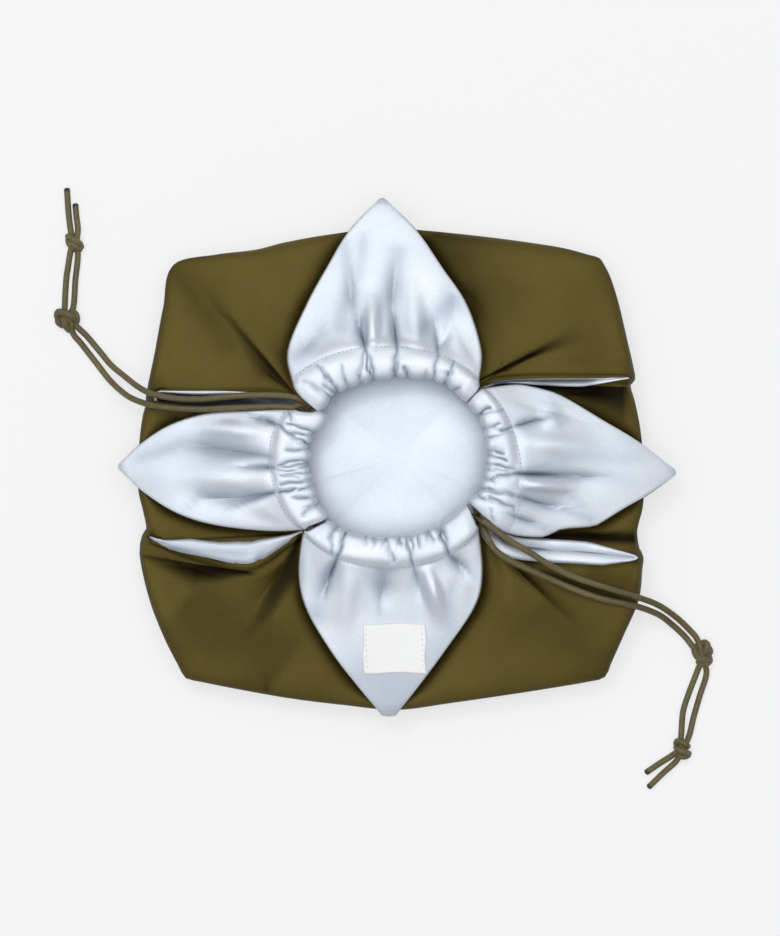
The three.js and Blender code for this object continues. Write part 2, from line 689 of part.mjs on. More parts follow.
// Moves the last point of a cord along the cord's own direction until its end face is a skin's width off a knot
function seatEnd(points, knot) {
  const [before, end] = points.slice(-2).map((p) => new THREE.Vector3(p.x, p.y, p.z));
  const direction = end.sub(before).normalize();
  const side = direction.clone().cross(UP).normalize();
  const faceClear = (length) => {
    for (let corner = 0; corner < CORD_SIDES; corner += 1) {
      const spoke = side.clone().applyAxisAngle(direction, (2 * Math.PI * corner) / CORD_SIDES);
      const rim = before.clone().addScaledVector(direction, length).addScaledVector(spoke, CORD_DIAMETER / 2);
      if (!clearOfKnot(rim, knot)) {
        return false;
      }
    }
    return true;
  };
  let length = 0;
  while (length < SEAT_REACH && faceClear(length + SEAT_STEP)) {
    length += SEAT_STEP;
  }
  return [...points.slice(0, -1), before.addScaledVector(direction, length)];
}

// The free end of a strand in its three stretches, each seated against the knots it meets
function strandStretches(strand, [first, second]) {
  const reversed = (points) => [...points].reverse();
  return {
    free: seatEnd(strand.free, first),
    between: seatEnd(reversed(seatEnd(reversed(strand.between), first)), second),
    tail: reversed(seatEnd(reversed(strand.tail), second)),
  };
}

// The part of a cord that is held in the casings: round all four petals from one end of its slit to the other
function casingRun(cord, surface) {
  const depth = WALL_GAP / 2 + CORD_SKIN + CORD_DIAMETER / 2;
  const points = [];
  for (let step = 0; step < PETALS.length; step += 1) {
    const panel = (cord.firstPanel + step) % PETALS.length;
    for (const id of surface.petalRows[panel][cord.casingRow]) {
      points.push(surface.points[id].clone().addScaledVector(surface.normals[id], -depth));
    }
  }
  return points;
}

function topHeight(geometry, x, y) {
  const ray = new THREE.Raycaster(new THREE.Vector3(x, y, 200), new THREE.Vector3(0, 0, -1));
  return ray.intersectObject(new THREE.Mesh(geometry, ICE_BLUE))[0].point.z;
}

// The label follows the lining under it
function labelGeometry(liningGeometry) {
  const columns = 10;
  const rows = 8;
  const surface = { points: [], swell: [], faces: [], normals: [] };
  for (let row = 0; row <= rows; row += 1) {
    for (let column = 0; column <= columns; column += 1) {
      const x = LABEL_CENTRE.x + LABEL_WIDTH * (column / columns - 0.5);
      const y = LABEL_CENTRE.y - LABEL_HEIGHT * (row / rows - 0.5);
      surface.points.push(new THREE.Vector3(x, y, topHeight(liningGeometry, x, y) + LABEL_GAP));
      surface.swell.push(0);
      surface.normals.push(new THREE.Vector3(0, 0, 1));
    }
  }
  for (let row = 0; row < rows; row += 1) {
    for (let column = 0; column < columns; column += 1) {
      const id = row * (columns + 1) + column;
      surface.faces.push([id, id + columns + 1, id + columns + 2, id + 1]);
    }
  }
  surface.triangles = surface.faces.flatMap((face) => splitFace(surface.points, face));
  return wallGeometry(surface, 0, LABEL_WALL, 0);
}

function piece(name, geometry, material) {
  const mesh = new THREE.Mesh(geometry, material);
  mesh.name = name;
  return mesh;
}

function buildPouch() {
  const pouch = new THREE.Group();
  const surface = clothSurface();
  const skin = WALL_GAP / 2;
  const shell = wallGeometry(surface, skin, skin + SHELL_WALL, 0);
  const lining = wallGeometry(surface, -skin - LINING_WALL, -skin, 1);
  pouch.add(piece('shell', shell, OLIVE));
  pouch.add(piece('lining', lining, ICE_BLUE));
  pouch.add(piece('label', labelGeometry(lining), WHITE));
  for (const cord of CORDS) {
    pouch.add(piece(`${cord.name}_casing_run`, cordGeometry(casingRun(cord, surface)), CORD_OLIVE));
    cord.knots.forEach((knot, index) => {
      pouch.add(piece(`${cord.name}_knot_${index + 1}`, knotGeometry(knot), CORD_OLIVE));
    });
    for (const strand of cord.strands) {
      for (const [stretch, points] of Object.entries(strandStretches(strand, cord.knots))) {
        pouch.add(piece(`${cord.name}_${strand.name}_${stretch}`, cordGeometry(points), CORD_OLIVE));
      }
    }
  }
  return pouch;
}

export default buildPouch();
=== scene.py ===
"""A drawstring pouch made of one lined square of cloth, lying on a table with its mouth up.

The cloth is olive outside and ice blue satin inside. Its four corners are folded outward as petals, a
stitched casing crosses each petal, and two cords run round through the casings and come out of two slits.
Tables of the cloth are in millimetres, cord routes and meshes in metres.
"""

import logging
import math
from dataclasses import dataclass, field
from enum import Enum
from typing import NamedTuple

import bpy
import numpy as np
from bpy.types import Material, Mesh, Node, NodeSocket, NodeTree, Object
from numpy.typing import ArrayLike
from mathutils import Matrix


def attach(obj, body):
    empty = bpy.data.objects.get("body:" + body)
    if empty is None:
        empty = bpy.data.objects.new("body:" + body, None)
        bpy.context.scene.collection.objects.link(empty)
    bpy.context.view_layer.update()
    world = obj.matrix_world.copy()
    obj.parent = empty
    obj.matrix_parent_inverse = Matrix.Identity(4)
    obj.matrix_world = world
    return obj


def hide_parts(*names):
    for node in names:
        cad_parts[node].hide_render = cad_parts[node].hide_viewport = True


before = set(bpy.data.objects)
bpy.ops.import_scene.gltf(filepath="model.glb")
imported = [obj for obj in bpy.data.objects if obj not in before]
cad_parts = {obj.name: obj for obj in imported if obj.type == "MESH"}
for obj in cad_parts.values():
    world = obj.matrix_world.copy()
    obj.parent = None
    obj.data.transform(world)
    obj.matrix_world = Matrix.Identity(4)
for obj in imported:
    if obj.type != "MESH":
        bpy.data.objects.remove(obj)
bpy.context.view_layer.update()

Array = np.ndarray
Pair = tuple[float, float]
Triple = tuple[float, float, float]
Numbers = tuple[float, ...]

LOG = logging.getLogger("pouch")
MM = 0.001
BODY = "root"

# Sampling of the cloth round its turn: four panels of one slit edge, two units of mouth and one slit edge
PANELS = 4
PANEL_UNITS = 4.0
TURN_UNITS = 16.0
TIP_UNITS = 0.1
EDGE_STEP = 0.03
TIP_RAYS = 2
STITCH_ROW = 2.0
TIP_ROW = 7.0
UNDER_ROW = -1.0
MOUTH_FIRST = 1.0
MOUTH_LAST = 3.0
PANEL_MIDDLE = 2.0

# Reaches of merging, the height of rays from above, and a tiny number for lengths near zero
MERGE_REACH = 1e-7
CLOTH_MERGE_REACH = 2e-6
RAY_HEIGHT = 0.2
TINY = 1e-6


class OutlinePoint(NamedTuple):
    """A point of the fold round the pouch, by its place in the turn."""

    at: float
    x: float
    y: float


class SlitEdge(NamedTuple):
    """One edge of a slit: its points outward from the petal, and how its lip leans out and stands up."""

    points: tuple[Pair, ...]
    lean: Numbers
    lip: float


class PetalRow(NamedTuple):
    """A row across a petal, from its clockwise start to its end, with the bulge of its middle."""

    at: float
    start_x: float
    start_y: float
    end_x: float
    end_y: float
    bow: float


class Crease(NamedTuple):
    """A valley between two gathers of a casing from above: its run, its depth and its half width."""

    x0: float
    y0: float
    x1: float
    y1: float
    depth: float
    width: float


class FoldKind(Enum):
    """How a fold lies: standing up, sunk in, or one side lying over the other."""

    RIDGE = "ridge"
    VALLEY = "valley"
    TUCK = "tuck"


RIDGE, VALLEY, TUCK = FoldKind


class Fold(NamedTuple):
    """A fold from one place to another from above, with its widths, its size and where it is strongest."""

    kind: FoldKind
    x0: float
    y0: float
    x1: float
    y1: float
    width0: float
    width1: float
    size: float
    peak: float


class Shadow(NamedTuple):
    """A painted shadow of a fold: its run, then its dark widths and its strength at both ends."""

    x0: float
    y0: float
    x1: float
    y1: float
    left0: float
    left1: float
    right0: float
    right1: float
    strength0: float
    strength1: float


def shadows(rows: tuple[Numbers, ...]) -> tuple[Shadow, ...]:
    """Make shadows from rows, where a row without widths to the right takes those to the left."""
    return tuple(Shadow(*row[:6], *row[-4:]) for row in rows)


class Fineness(NamedTuple):
    """How finely a cloth is sampled: rays at a slit edge and a mouth side, rows, and steps between guides."""

    slit_rays: int
    mouth_rays: int
    casing_rows: int
    petal_rows: int
    steps: tuple[int, ...]


SHELL_FINENESS = Fineness(36, 76, 10, 22, (2, 2, 2, 3, 3, 4, 9, 9, 9, 9, 4, 4, 4))
SATIN_FINENESS = Fineness(20, 146, 19, 26, (2, 2, 1, 2, 2, 2, 1, 2, 1, 2, 3, 4, 4))

OUTLINE = tuple(OutlinePoint(*row) for row in (
    (0, -99.6, 24.6), (0.1, -98.9, 28.6), (0.4, -96.2, 41), (0.7, -92.6, 60), (1, -88.6, 76.6),
    (1.2, -72, 80.2), (1.4, -55.6, 82.2), (1.5, -45.6, 84.8), (1.75, -26.8, 88.2), (2, -5.6, 90.6),
    (2.4, 26, 88.3), (2.8, 63, 83.4), (3, 77.4, 79.9), (3.05, 80.4, 79), (3.1, 81.8, 77),
    (3.175, 84.2, 72.4), (3.3, 87.3, 63), (3.6, 91.4, 46), (3.9, 94, 35), (4, 94.4, 31.4),
    (4.1, 92.6, 29.2), (4.5, 94.4, 21.5), (5, 96.4, 11), (6, 97.8, -4.5), (7, 97.4, -19.5),
    (7.5, 95.2, -29), (7.9, 96.2, -36.4), (8, 97.8, -40), (8.1, 97.4, -44.2), (8.3, 95.8, -57),
    (8.5, 90.2, -70), (8.65, 84.6, -82.6), (8.7, 82.6, -87.2), (8.75, 77.6, -88.6), (8.85, 66, -90.6),
    (9.1, 44, -94), (9.5, 22, -97.2), (10, 0, -100), (10.5, -22, -98), (10.9, -44, -95.2),
    (11.15, -66, -91.3), (11.26, -79.6, -88.6), (11.3, -84, -87.6), (11.34, -86, -84.2),
    (11.5, -92.4, -71.6), (11.7, -98.4, -56), (11.9, -102.2, -38.6), (12, -101.3, -31.6),
    (12.1, -99.5, -28.6), (12.5, -100.6, -21.5), (13, -102.4, -14), (14, -102.8, -3), (15, -101.8, 9.5),
    (15.5, -100.8, 16.5), (15.9, -99.8, 21),
))

SLIT_TIPS = ((-97.2, 24.4), (93.2, 31.8), (96.4, -40), (-99, -31.8))

# The start and end slit edge of each panel: top, right, bottom, left
SLIT_EDGES = (
    (
        SlitEdge(((-46, 25), (-62, 26), (-80, 25.8), (-94.5, 26.6)),
                 (0, 0, 0.2, 0.9, 1, 0.8), 3),
        SlitEdge(((35.4, 29.3), (44, 31.4), (62, 31.9), (78, 32), (91.4, 32.2)), (-0.4,), 3.6),
    ),
    (
        SlitEdge(((34.8, 28.2), (44, 30.6), (58, 30.9), (76, 30.9), (90.6, 31.4)),
                 (0.4, 0.8, 2, 2.6, 2.6, 1.6), 4.6),
        SlitEdge(((43.6, -33.6), (56, -36), (74, -37.4), (92.6, -39)), (4,), 3.8),
    ),
    (
        SlitEdge(((41.8, -34.2), (54, -37.2), (74, -38.6), (93.2, -40.6)), (4, 4.2, 4, 3.4), 3.8),
        SlitEdge(((-44, -34.6), (-51, -39.8), (-59.6, -43.8), (-77, -40.8), (-97.4, -33.8)),
                 (-1.4,), 3.6),
    ),
    (
        SlitEdge(((-44, -33.6), (-51, -38.2), (-59.4, -42.2), (-76.4, -39.2),
                  (-90, -36.2), (-97.2, -32.6)),
                 (0, 0.6, 2.4, 6.2, 8.8, 8.4, 6.2, 5.6, 5.4, 2.6, 1), 4),
        SlitEdge(((-46, 19), (-62, 19.2), (-80, 19.8), (-95, 21.6)), (0,), 1.6),
    ),
)

PETAL_AXES = ((0, 1), (1, 0), (0, -1), (-1, 0))

PETALS = tuple(tuple(PetalRow(*row) for row in rows) for rows in (
    (
        (0, -32.2, 18.8, 28.6, 23, 12.6), (1, -39.2, 25, 32.3, 27, 11.8), (2, -42, 31.2, 32.8, 31.4, 12.8),
        (3, -43.6, 43, 33.6, 43, 7), (4, -36.2, 61, 28, 61, 4), (5, -28, 76, 18, 76, 2),
        (6, -19.4, 90.2, 8.2, 90.2, 1), (7, -7.2, 103.4, -4.6, 103.4, 0.4),
    ),
    (
        (0, 29, 22.6, 29.4, -18.4, 8.2), (1, 32.3, 26.2, 35.6, -24.4, 9), (2, 35.4, 27.6, 43.6, -30.2, 9.6),
        (3, 48, 29.2, 58.4, -31.8, 7.5), (3.35, 53.8, 28.3, 65, -28.8, 6.3),
        (3.8, 61.2, 26.5, 75, -27.9, 5), (4.05, 65.2, 24.9, 79.2, -27.3, 4.4),
        (4.3, 69.4, 22.7, 82.6, -25.4, 3.9), (5, 81, 15.7, 90.2, -20.6, 2.5),
        (6, 96, 6.6, 100.6, -14.6, 1.2), (7, 111.2, -4.8, 111.2, -7.2, 0.4),
    ),
    (
        (0, 28.4, -19.6, -28.3, -25.9, 10.2), (1, 31.4, -26.4, -34.8, -28.9, 11.6),
        (2, 32.6, -29.8, -37.4, -30.5, 13.8), (3, 34, -46.6, -39.2, -46, 8),
        (4, 31, -59.5, -36.2, -60.5, 5), (5, 20, -76, -26.4, -77.4, 2.5), (6, 9.4, -90.4, -16.2, -90.8, 1),
        (7, -0.8, -103.2, -5.8, -103.2, 0.4),
    ),
    (
        (0, -28.8, -24.9, -32.9, 17.6, 5.4), (1, -34.9, -27.5, -38.4, 18.4, 8.4),
        (2, -38.2, -28.9, -44, 19, 9.4), (3, -53, -29.2, -63, 18.6, 5), (4, -73, -26.9, -77, 17.4, 4),
        (5, -88, -22.2, -91, 12.9, 2.5), (6, -101, -14, -102, 5.8, 1), (7, -111.2, -4.8, -111.2, -2.4, 0.4),
    ),
))

# How high a petal rides over the roof: row, middle, edge
PETAL_LIFT = (
    (0, 9, 8.6), (1, 10.5, 9.9), (2, 9.9, 8.7), (3, 7.5, 5.9), (4, 6.2, 5), (5, 5.6, 4.6), (6, 4.9, 4.2),
    (7, 4.2, 4),
)

# How far the satin stands off the shell round a casing, by petal row. Rows below 0 are under the nose.
CASING_SWELL = (
    (-1, 0), (-0.5, 0.35), (0, 0.9), (0.3, 1.3), (0.6, 1.5), (0.95, 1.5), (1.35, 1.2), (1.7, 0.75),
    (1.9, 0.45), (2, 0.28), (2.1, 0.32), (2.5, 0.28), (3.2, 0.15), (4.5, 0.05), (7, 0),
)

# Valleys of the four gathered casings: top, right, bottom, left
CREASES = tuple(tuple(Crease(*row) for row in rows) for rows in (
    (
        (-27.4, 24.6, -37, 30.6, 0.45, 0.8), (-25.2, 26.2, -28.7, 28.4, 0.6, 0.7),
        (-24, 28.6, -28, 32.2, 0.6, 0.7), (-28, 32.2, -31.4, 36.6, 0.6, 0.7),
        (-20, 29, -22.1, 36.2, 0.4, 1.6), (-14.8, 31, -13, 42.4, 0.5, 1),
        (-11.7, 35.6, -12.1, 42.6, 0.7, 0.8), (-8.6, 31.4, -11.1, 40.4, 0.45, 0.8),
        (-10.5, 32, -10.6, 35.6, 0.6, 0.6), (-1.6, 31.8, -0.4, 40, 0.55, 0.8),
        (0.1, 31.8, -0.3, 40, 0.5, 0.7), (-0.4, 40, 0, 44, 0.7, 0.8), (4.8, 31.4, 3, 35.6, 0.6, 0.8),
        (11.5, 30.4, 11.8, 33.4, 0.6, 0.6), (14.4, 30, 16.1, 40.4, 0.5, 1.5),
        (19.3, 28.2, 20.6, 33.4, 0.9, 0.9), (21.6, 33.6, 22.6, 38, 0.5, 0.8),
        (20.6, 27.2, 24.5, 28.2, 0.45, 0.7),
    ),
    (
        (31, 16.9, 36.6, 19.5, 0.8, 0.8), (33.9, 17.1, 42.3, 19, 0.3, 1.2),
        (32, 15.3, 33.4, 14.4, 0.45, 0.6), (34.6, 11.7, 40.5, 13, 0.5, 0.7),
        (41.9, 10.9, 48.4, 12.8, 0.75, 1.1), (37.4, 11.8, 41.9, 10.9, 0.3, 0.8),
        (36.2, 7.7, 46.8, 10.6, 0.3, 0.8), (38.2, 2.9, 42, 1.5, 0.6, 0.9),
        (37.8, 0.7, 43.2, -1.3, 0.6, 0.8), (38.5, -2.6, 46.2, -4.5, 0.6, 0.9),
        (39.4, -4.9, 44.4, -4.9, 0.4, 0.7), (36, -8.8, 44.6, -6.7, 0.65, 0.8),
        (44.6, -6.7, 49, -6.6, 0.75, 1), (36.2, -12, 37.9, -13, 0.45, 0.6),
        (36.9, -13.6, 46.4, -14.8, 0.6, 0.7), (33.4, -15.8, 36.9, -16.2, 0.6, 0.7),
        (36.9, -16.2, 45.8, -19.7, 0.6, 0.7), (46, -20, 46.3, -23.4, 0.5, 0.9),
        (37.4, -21, 38.1, -24.9, 0.35, 1.2),
    ),
    (
        (-24.4, -27.4, -26, -32.1, 0.5, 0.9), (-26, -32.1, -25.6, -37.6, 0.45, 0.9),
        (-20.1, -28.4, -23.9, -40.6, 0.75, 0.9), (-12.8, -30.2, -12, -34.2, 0.3, 1.4),
        (-8.1, -31.2, -9.4, -33, 0.45, 0.7), (-5.1, -31.1, -1.3, -41, 0.5, 1.2),
        (0.4, -31.9, 1.7, -34.3, 0.65, 0.6), (3.8, -32, 6.8, -44, 0.6, 1.1),
        (5.8, -30.8, 6.2, -36, 0.5, 0.7), (8.3, -30.8, 9, -35.2, 0.45, 0.8),
        (11.9, -29.5, 14.6, -32.4, 0.6, 0.7), (16.2, -27.1, 17.4, -31.1, 0.65, 0.8),
        (17.4, -31.1, 21.6, -39.6, 0.8, 0.9), (18.2, -27.9, 19.8, -32.9, 0.5, 0.7),
    ),
    (
        (-42.2, 14.4, -43, 18.6, 0.5, 0.8), (-35, 11, -43.4, 13.2, 0.6, 0.8),
        (-33.8, 8.8, -42, 9.7, 0.6, 0.8), (-35, 5.5, -40.2, 7.7, 0.6, 0.8),
        (-40.2, 7.7, -48, 13.6, 0.65, 0.8), (-37.2, 3.1, -43.4, 2.7, 0.5, 1),
        (-38.6, -0.9, -46.8, -3.1, 0.55, 0.8), (-36.9, -2.6, -45.4, -3.8, 0.55, 0.7),
        (-36.6, -4.2, -38.6, -4.4, 0.4, 0.6), (-41.2, -5.4, -47.1, -5.3, 0.4, 0.6),
        (-35.8, -6.3, -44, -6.7, 0.45, 0.6), (-39.9, -7.9, -45.8, -7.1, 0.45, 0.7),
        (-35.6, -9.4, -46, -10.5, 0.6, 0.9), (-41, -12.6, -46.6, -14, 0.8, 0.9),
        (-35.8, -11.9, -38.8, -13.3, 0.6, 0.7), (-34.7, -16.2, -40.8, -15.7, 0.55, 0.8),
        (-31.2, -19.2, -33.6, -19.2, 0.5, 0.8), (-33.6, -19.2, -37, -23, 0.5, 0.8),
    ),
))

# Folds of the four petals past the stitch line
PETAL_FOLDS = tuple(tuple(Fold(*row) for row in rows) for rows in (
    (
        (VALLEY, -12.4, 42.8, -18, 62, 0.9, 3, 2.6, 0.12),
        (VALLEY, -18, 62, -20.8, 86, 3, 3.5, 1.6, 0.05),
        (RIDGE, -9.6, 45, -10.3, 68, 2, 3.2, 2, 0.3),
        (VALLEY, -0.2, 44.2, -2.2, 64, 1, 3.4, 2.4, 0.12),
        (VALLEY, -2.2, 62, 1.2, 86, 3.4, 4.5, 1.6, 0.1),
        (RIDGE, 8.4, 42, 5, 76, 3.5, 4.5, 1.4, 0.3),
        (VALLEY, 16.1, 41, 14.6, 60, 1.2, 4.5, 1.8, 0.12),
        (VALLEY, -41, 41, -29, 50, 3, 3, 1, 0.5),
        (VALLEY, 17, 42, 25, 60, 1.4, 3.5, 1.4, 0.3),
    ),
    (
        (VALLEY, 48.4, -6.5, 94, -8.5, 1, 5, 3.2, 0.12),
        (RIDGE, 50, -10.6, 76, -11.5, 2.2, 3.5, 2, 0.25),
        (VALLEY, 46.4, -14.9, 77, -24.4, 1.7, 3.5, 2.6, 0.15),
        (VALLEY, 46.4, -23.4, 60, -28, 1, 2.4, 1.4, 0.2),
        (VALLEY, 48.4, 12.8, 63, 17.2, 1, 3, 2.6, 0.15),
        (RIDGE, 52, 6, 84, 3, 4, 5, 1.4, 0.3),
        (RIDGE, 60, 20, 64, 10, 2, 3, 1, 0.5),
    ),
    (
        (VALLEY, -24, -40.8, -33, -62, 1, 4.5, 3, 0.12),
        (RIDGE, -18.6, -43, -22, -76, 3.4, 4.5, 0.9, 0.3),
        (VALLEY, 21.8, -39.8, 32.6, -49.6, 1.7, 3, 2.4, 0.15),
        (RIDGE, 12, -45, 19, -68, 2.2, 3.2, 2.2, 0.4),
        (VALLEY, -4.5, -45.5, -7, -62, 3.5, 4, 1.6, 0.4),
        (VALLEY, 6.9, -44.4, 11, -61, 1, 3, 1.6, 0.15),
    ),
    (
        (VALLEY, -50, 0.2, -91, 6.6, 1.8, 5, 3, 0.45),
        (RIDGE, -52, -9, -105, -6, 4.5, 6, 1.2, 0.3),
        (VALLEY, -49.4, -14.2, -84, -18, 1.1, 5, 3, 0.3),
        (VALLEY, -49.2, -4, -66, -3.8, 1, 1.8, 2.2, 0.08),
        (VALLEY, -48.4, 13.3, -60, 18.4, 0.9, 2.4, 2.4, 0.15),
        (RIDGE, -54, 10, -84, 12.4, 3, 3.5, 1.5, 0.4),
    ),
))

# Folds of the olive roof between the petals
ROOF_FOLDS = tuple(Fold(*row) for row in (
    (TUCK, -72, 61.8, -42.5, 27.5, 5, 3.2, 2.6, 0.8),
    (VALLEY, -87, 76, -66, 50, 6, 9, 2.4, 0.4),
    (TUCK, 33, 30.8, 67, 48, 1.8, 6, 3.2, 0.35),
    (VALLEY, 24.8, 70, 33, 58.6, 1.4, 1.8, 1.4, 0.5),
    (VALLEY, 27, 78, 37, 42, 5, 5, 2.4, 0.6),
    (VALLEY, 42, 27.4, 92, 24, 3, 5, 7, 0.6),
    (VALLEY, -39, -31, -62, -70, 2.6, 6, 5, 0.35),
    (VALLEY, -52.4, -98, -52, -68, 2, 5, 1, 0.05),
    (TUCK, -39, -32.2, -78, -50, 2.6, 5, 3, 0.4),
    (VALLEY, -103, -40.6, -62, -47, 3, 3.2, 6, 0.7),
    (TUCK, 70, -65, 43, -41, 7, 2.4, 3.4, 0.7),
    (RIDGE, 40.8, -36, 49, -74, 3.5, 6.5, 2, 0.5),
    (VALLEY, 94, -31, 60, -30, 3, 3, 2.4, 0.4),
))

# Where the cloth is drawn together, so that fine wrinkles fan out from there over the roof
SLIT_ROOTS = ((-38.0, 22.0), (33.0, 28.0), (34.0, -30.0), (-36.0, -29.0))


def smooth_step(share: Array) -> Array:
    """Ease from 0 to 1 over a share from 0 to 1."""
    held = np.clip(share, 0.0, 1.0)
    return held * held * (3.0 - 2.0 * held)


def ramp(value: Array, start: float, over: float) -> Array:
    """Ease from 0 to 1 over a stretch that begins at a start."""
    return smooth_step((value - start) / over)


def mix(first: float | Array, last: float | Array, share: float | Array) -> float | Array:
    """Go a share of the way from one value to another."""
    return first + (last - first) * share


def distances(points: Array) -> Array:
    """How far along a line its points lie."""
    return np.concatenate(([0.0], np.cumsum(np.linalg.norm(np.diff(points, axis=0), axis=1))))


def smooth_through(at: ArrayLike, values: ArrayLike, where: ArrayLike, period: float = 0.0) -> Array:
    """Follow a smooth curve through the rows of a table.

    Args:
        at: The places of the rows, rising.
        values: One value for each row.
        where: The places to find values for.
        period: The length after which the table repeats, or 0.

    Returns:
        The value at each place.
    """
    keys = np.asarray(at, float)
    column = np.asarray(values, float)
    places = np.asarray(where, float)
    if period:
        keys = np.concatenate((keys[-2:] - period, keys, keys[:2] + period))
        column = np.concatenate((column[-2:], column, column[:2]))
        places = np.mod(places, period)
    slopes = np.empty_like(column)
    slopes[1:-1] = (column[2:] - column[:-2]) / (keys[2:] - keys[:-2])
    slopes[0] = (column[1] - column[0]) / (keys[1] - keys[0])
    slopes[-1] = (column[-1] - column[-2]) / (keys[-1] - keys[-2])
    row = np.clip(np.searchsorted(keys, places, side="right") - 1, 0, len(keys) - 2)
    span = keys[row + 1] - keys[row]
    s = (places - keys[row]) / span
    ends = column[row] * (2 * s**3 - 3 * s**2 + 1) + column[row + 1] * (3 * s**2 - 2 * s**3)
    return ends + span * (slopes[row] * (s**3 - 2 * s**2 + s) + slopes[row + 1] * (s**3 - s**2))


# Samples to a point when a curve is measured
CURVE_FINENESS = 60


def curve_through(points: ArrayLike, step: float) -> Array:
    """Sample a smooth curve through points at about equal steps.

    Args:
        points: The points that the curve passes, as rows of x, y and z.
        step: The distance between samples.

    Returns:
        The samples as rows.
    """
    knots = np.asarray(points, float)
    gaps = np.linalg.norm(np.diff(knots, axis=0), axis=1)
    at = np.concatenate(([0.0], np.cumsum(np.sqrt(gaps))))
    fine = np.linspace(0.0, at[-1], CURVE_FINENESS * len(knots))
    dense = np.stack([smooth_through(at, knots[:, axis], fine) for axis in range(3)], axis=1)
    run = distances(dense)
    even = np.linspace(0.0, run[-1], max(2, int(round(run[-1] / step))) + 1)
    return np.stack([np.interp(even, run, dense[:, axis]) for axis in range(3)], axis=1)


# Shape of a fold: its rise at its start, its run past its ends, its profile, and its trace in the inner cloth
FOLD_START = 0.35
FOLD_OVERRUN = 0.6
VALLEY_POWER = 1.15
TUCK_EDGE = 0.8
TUCK_RISE = 0.25
TUCK_BACK = 3.0
TUCK_FRONT = 2.0
INNER_SPREAD = 3.0
INNER_DEPTH = 1.2


def along_run(row: Fold | Crease | Shadow, x: Array, y: Array) -> tuple[float, Array, Array]:
    """Find where places lie beside the run of a fold, a gather or a shadow.

    Args:
        row: A row with the two ends of its run.
        x: Places across.
        y: Places deep.

    Returns:
        The run's length, and how far each place lies along it and to its left.
    """
    run = math.hypot(row.x1 - row.x0, row.y1 - row.y0)
    ux, uy = (row.x1 - row.x0) / run, (row.y1 - row.y0) / run
    along = (x - row.x0) * ux + (y - row.y0) * uy
    across = (y - row.y0) * ux - (x - row.x0) * uy
    return run, along, across


def fold_height(folds: tuple[Fold, ...], x: Array, y: Array, loose: bool = False) -> Array:
    """Height that a set of folds adds to a surface seen from above.

    Args:
        folds: The rows of folds.
        x: Places across.
        y: Places deep.
        loose: Whether this is the inner cloth, which follows only the sunk folds, and widely.

    Returns:
        The added height at each place.
    """
    total = np.zeros(np.broadcast(x, y).shape)
    for fold in folds:
        run, along, across = along_run(fold, x, y)
        share = np.clip(along / run, 0.0, 1.0)
        width = mix(fold.width0, fold.width1, share)
        overrun = np.abs(along - share * run)
        rise = np.where(share < fold.peak,
                        mix(FOLD_START, 1.0, smooth_step(share / max(fold.peak, TINY))),
                        smooth_step((1.0 - share) / (1.0 - fold.peak)))
        if loose:
            profile = np.exp(-(across / (INNER_SPREAD * width)) ** 2)
            profile = profile * (0.0 if fold.kind is RIDGE else -INNER_DEPTH)
        elif fold.kind is RIDGE:
            profile = np.exp(-(across / width) ** 2)
        elif fold.kind is VALLEY:
            profile = -np.exp(-(np.abs(across) / width) ** VALLEY_POWER)
        else:
            high = 0.5 + 0.5 * np.tanh(across / TUCK_EDGE)
            profile = TUCK_RISE * high * np.exp(-np.abs(across) / (TUCK_BACK * width))
            profile = profile - (1.0 - high) * np.exp(-np.abs(across) / (TUCK_FRONT * width))
        total += fold.size * rise * profile * np.exp(-(overrun / (FOLD_OVERRUN * width)) ** 2)
    return total


# Painted shadows in folds and pockets of the olive roof
ROOF_SHADOWS = shadows((
    (-78.2, 62.4, -66.2, 55.5, 0.3, 0.3, 1.5, 3, 0.1, 0.35),
    (-66.2, 55.5, -50.6, 37.2, 0.3, 0.3, 3, 6, 0.35, 0.85),
    (-50.6, 37.2, -42.4, 27.2, 0.3, 0.3, 6, 0.8, 0.85, 0.9),
    (34, 31.4, 54.5, 41.4, 0.5, 1, 0.97, 0.95),
    (53, 40.7, 72, 48.8, 1, 3.6, 1.2, 3, 0.97, 0.15),
    (38, 29.4, 66, 29, 0.3, 0.3, 1.2, 4.4, 0.97, 0.98),
    (66, 29, 90, 28, 0.3, 0.3, 4.6, 14, 0.99, 0.97),
    (48, -31.4, 94, -32.4, 2, 3, 2, 2.6, 0.98, 0.95),
    (36.4, -33.4, 53, -41.6, 1.8, 1.4, 0.95, 0.7),
    (50, -46.4, 71, -67, 2, 6, 0.4, 0.4, 0.85, 0.25),
    (60, -46.6, 93, -58, 1.5, 1.8, 1.5, 1.5, 0.75, 0.8),
    (-101, -39.2, -80, -42.9, 0.25, 0.25, 1.5, 8, 0.5, 0.95),
    (-80, -42.9, -60, -45.6, 0.25, 0.25, 8, 1.5, 0.95, 0.97),
    (-39.2, -32.5, -43.8, -46.9, 1.1, 4.2, 0.97, 0.9),
    (-43.8, -46.9, -54.5, -64.5, 4.2, 3.4, 0.9, 0.6),
    (-86, -33.2, -37, -30.2, 0.8, 0.6, 0.5, 0.5, 0.5, 0.95),
    (-52, -66, -52.4, -97, 4, 0.8, 0.3, 0.45),
))

# Broad painted shade on the olive roof
ROOF_PAINTED_SHADE = shadows((
    (12, 87, 30, 60, 26, 19, 3, 3, 0.62, 0.42),
    (30, 60, 36, 44, 17, 7, 3, 3, 0.42, 0.2),
    (-84, -60, -48, -84, 20, 17, 16, 14, 0.34, 0.38),
    (58, -60, 84, -84, 14, 14, 16, 16, 0.26, 0.3),
    (78, -46, 94, -52, 5, 5, 0.35, 0.35),
    (-54.5, -64.5, -69, -82, 3.8, 4, 0.55, 0.25),
    (-88, 73, -66, 44, 4, 7, 0.3, 0.28),
))
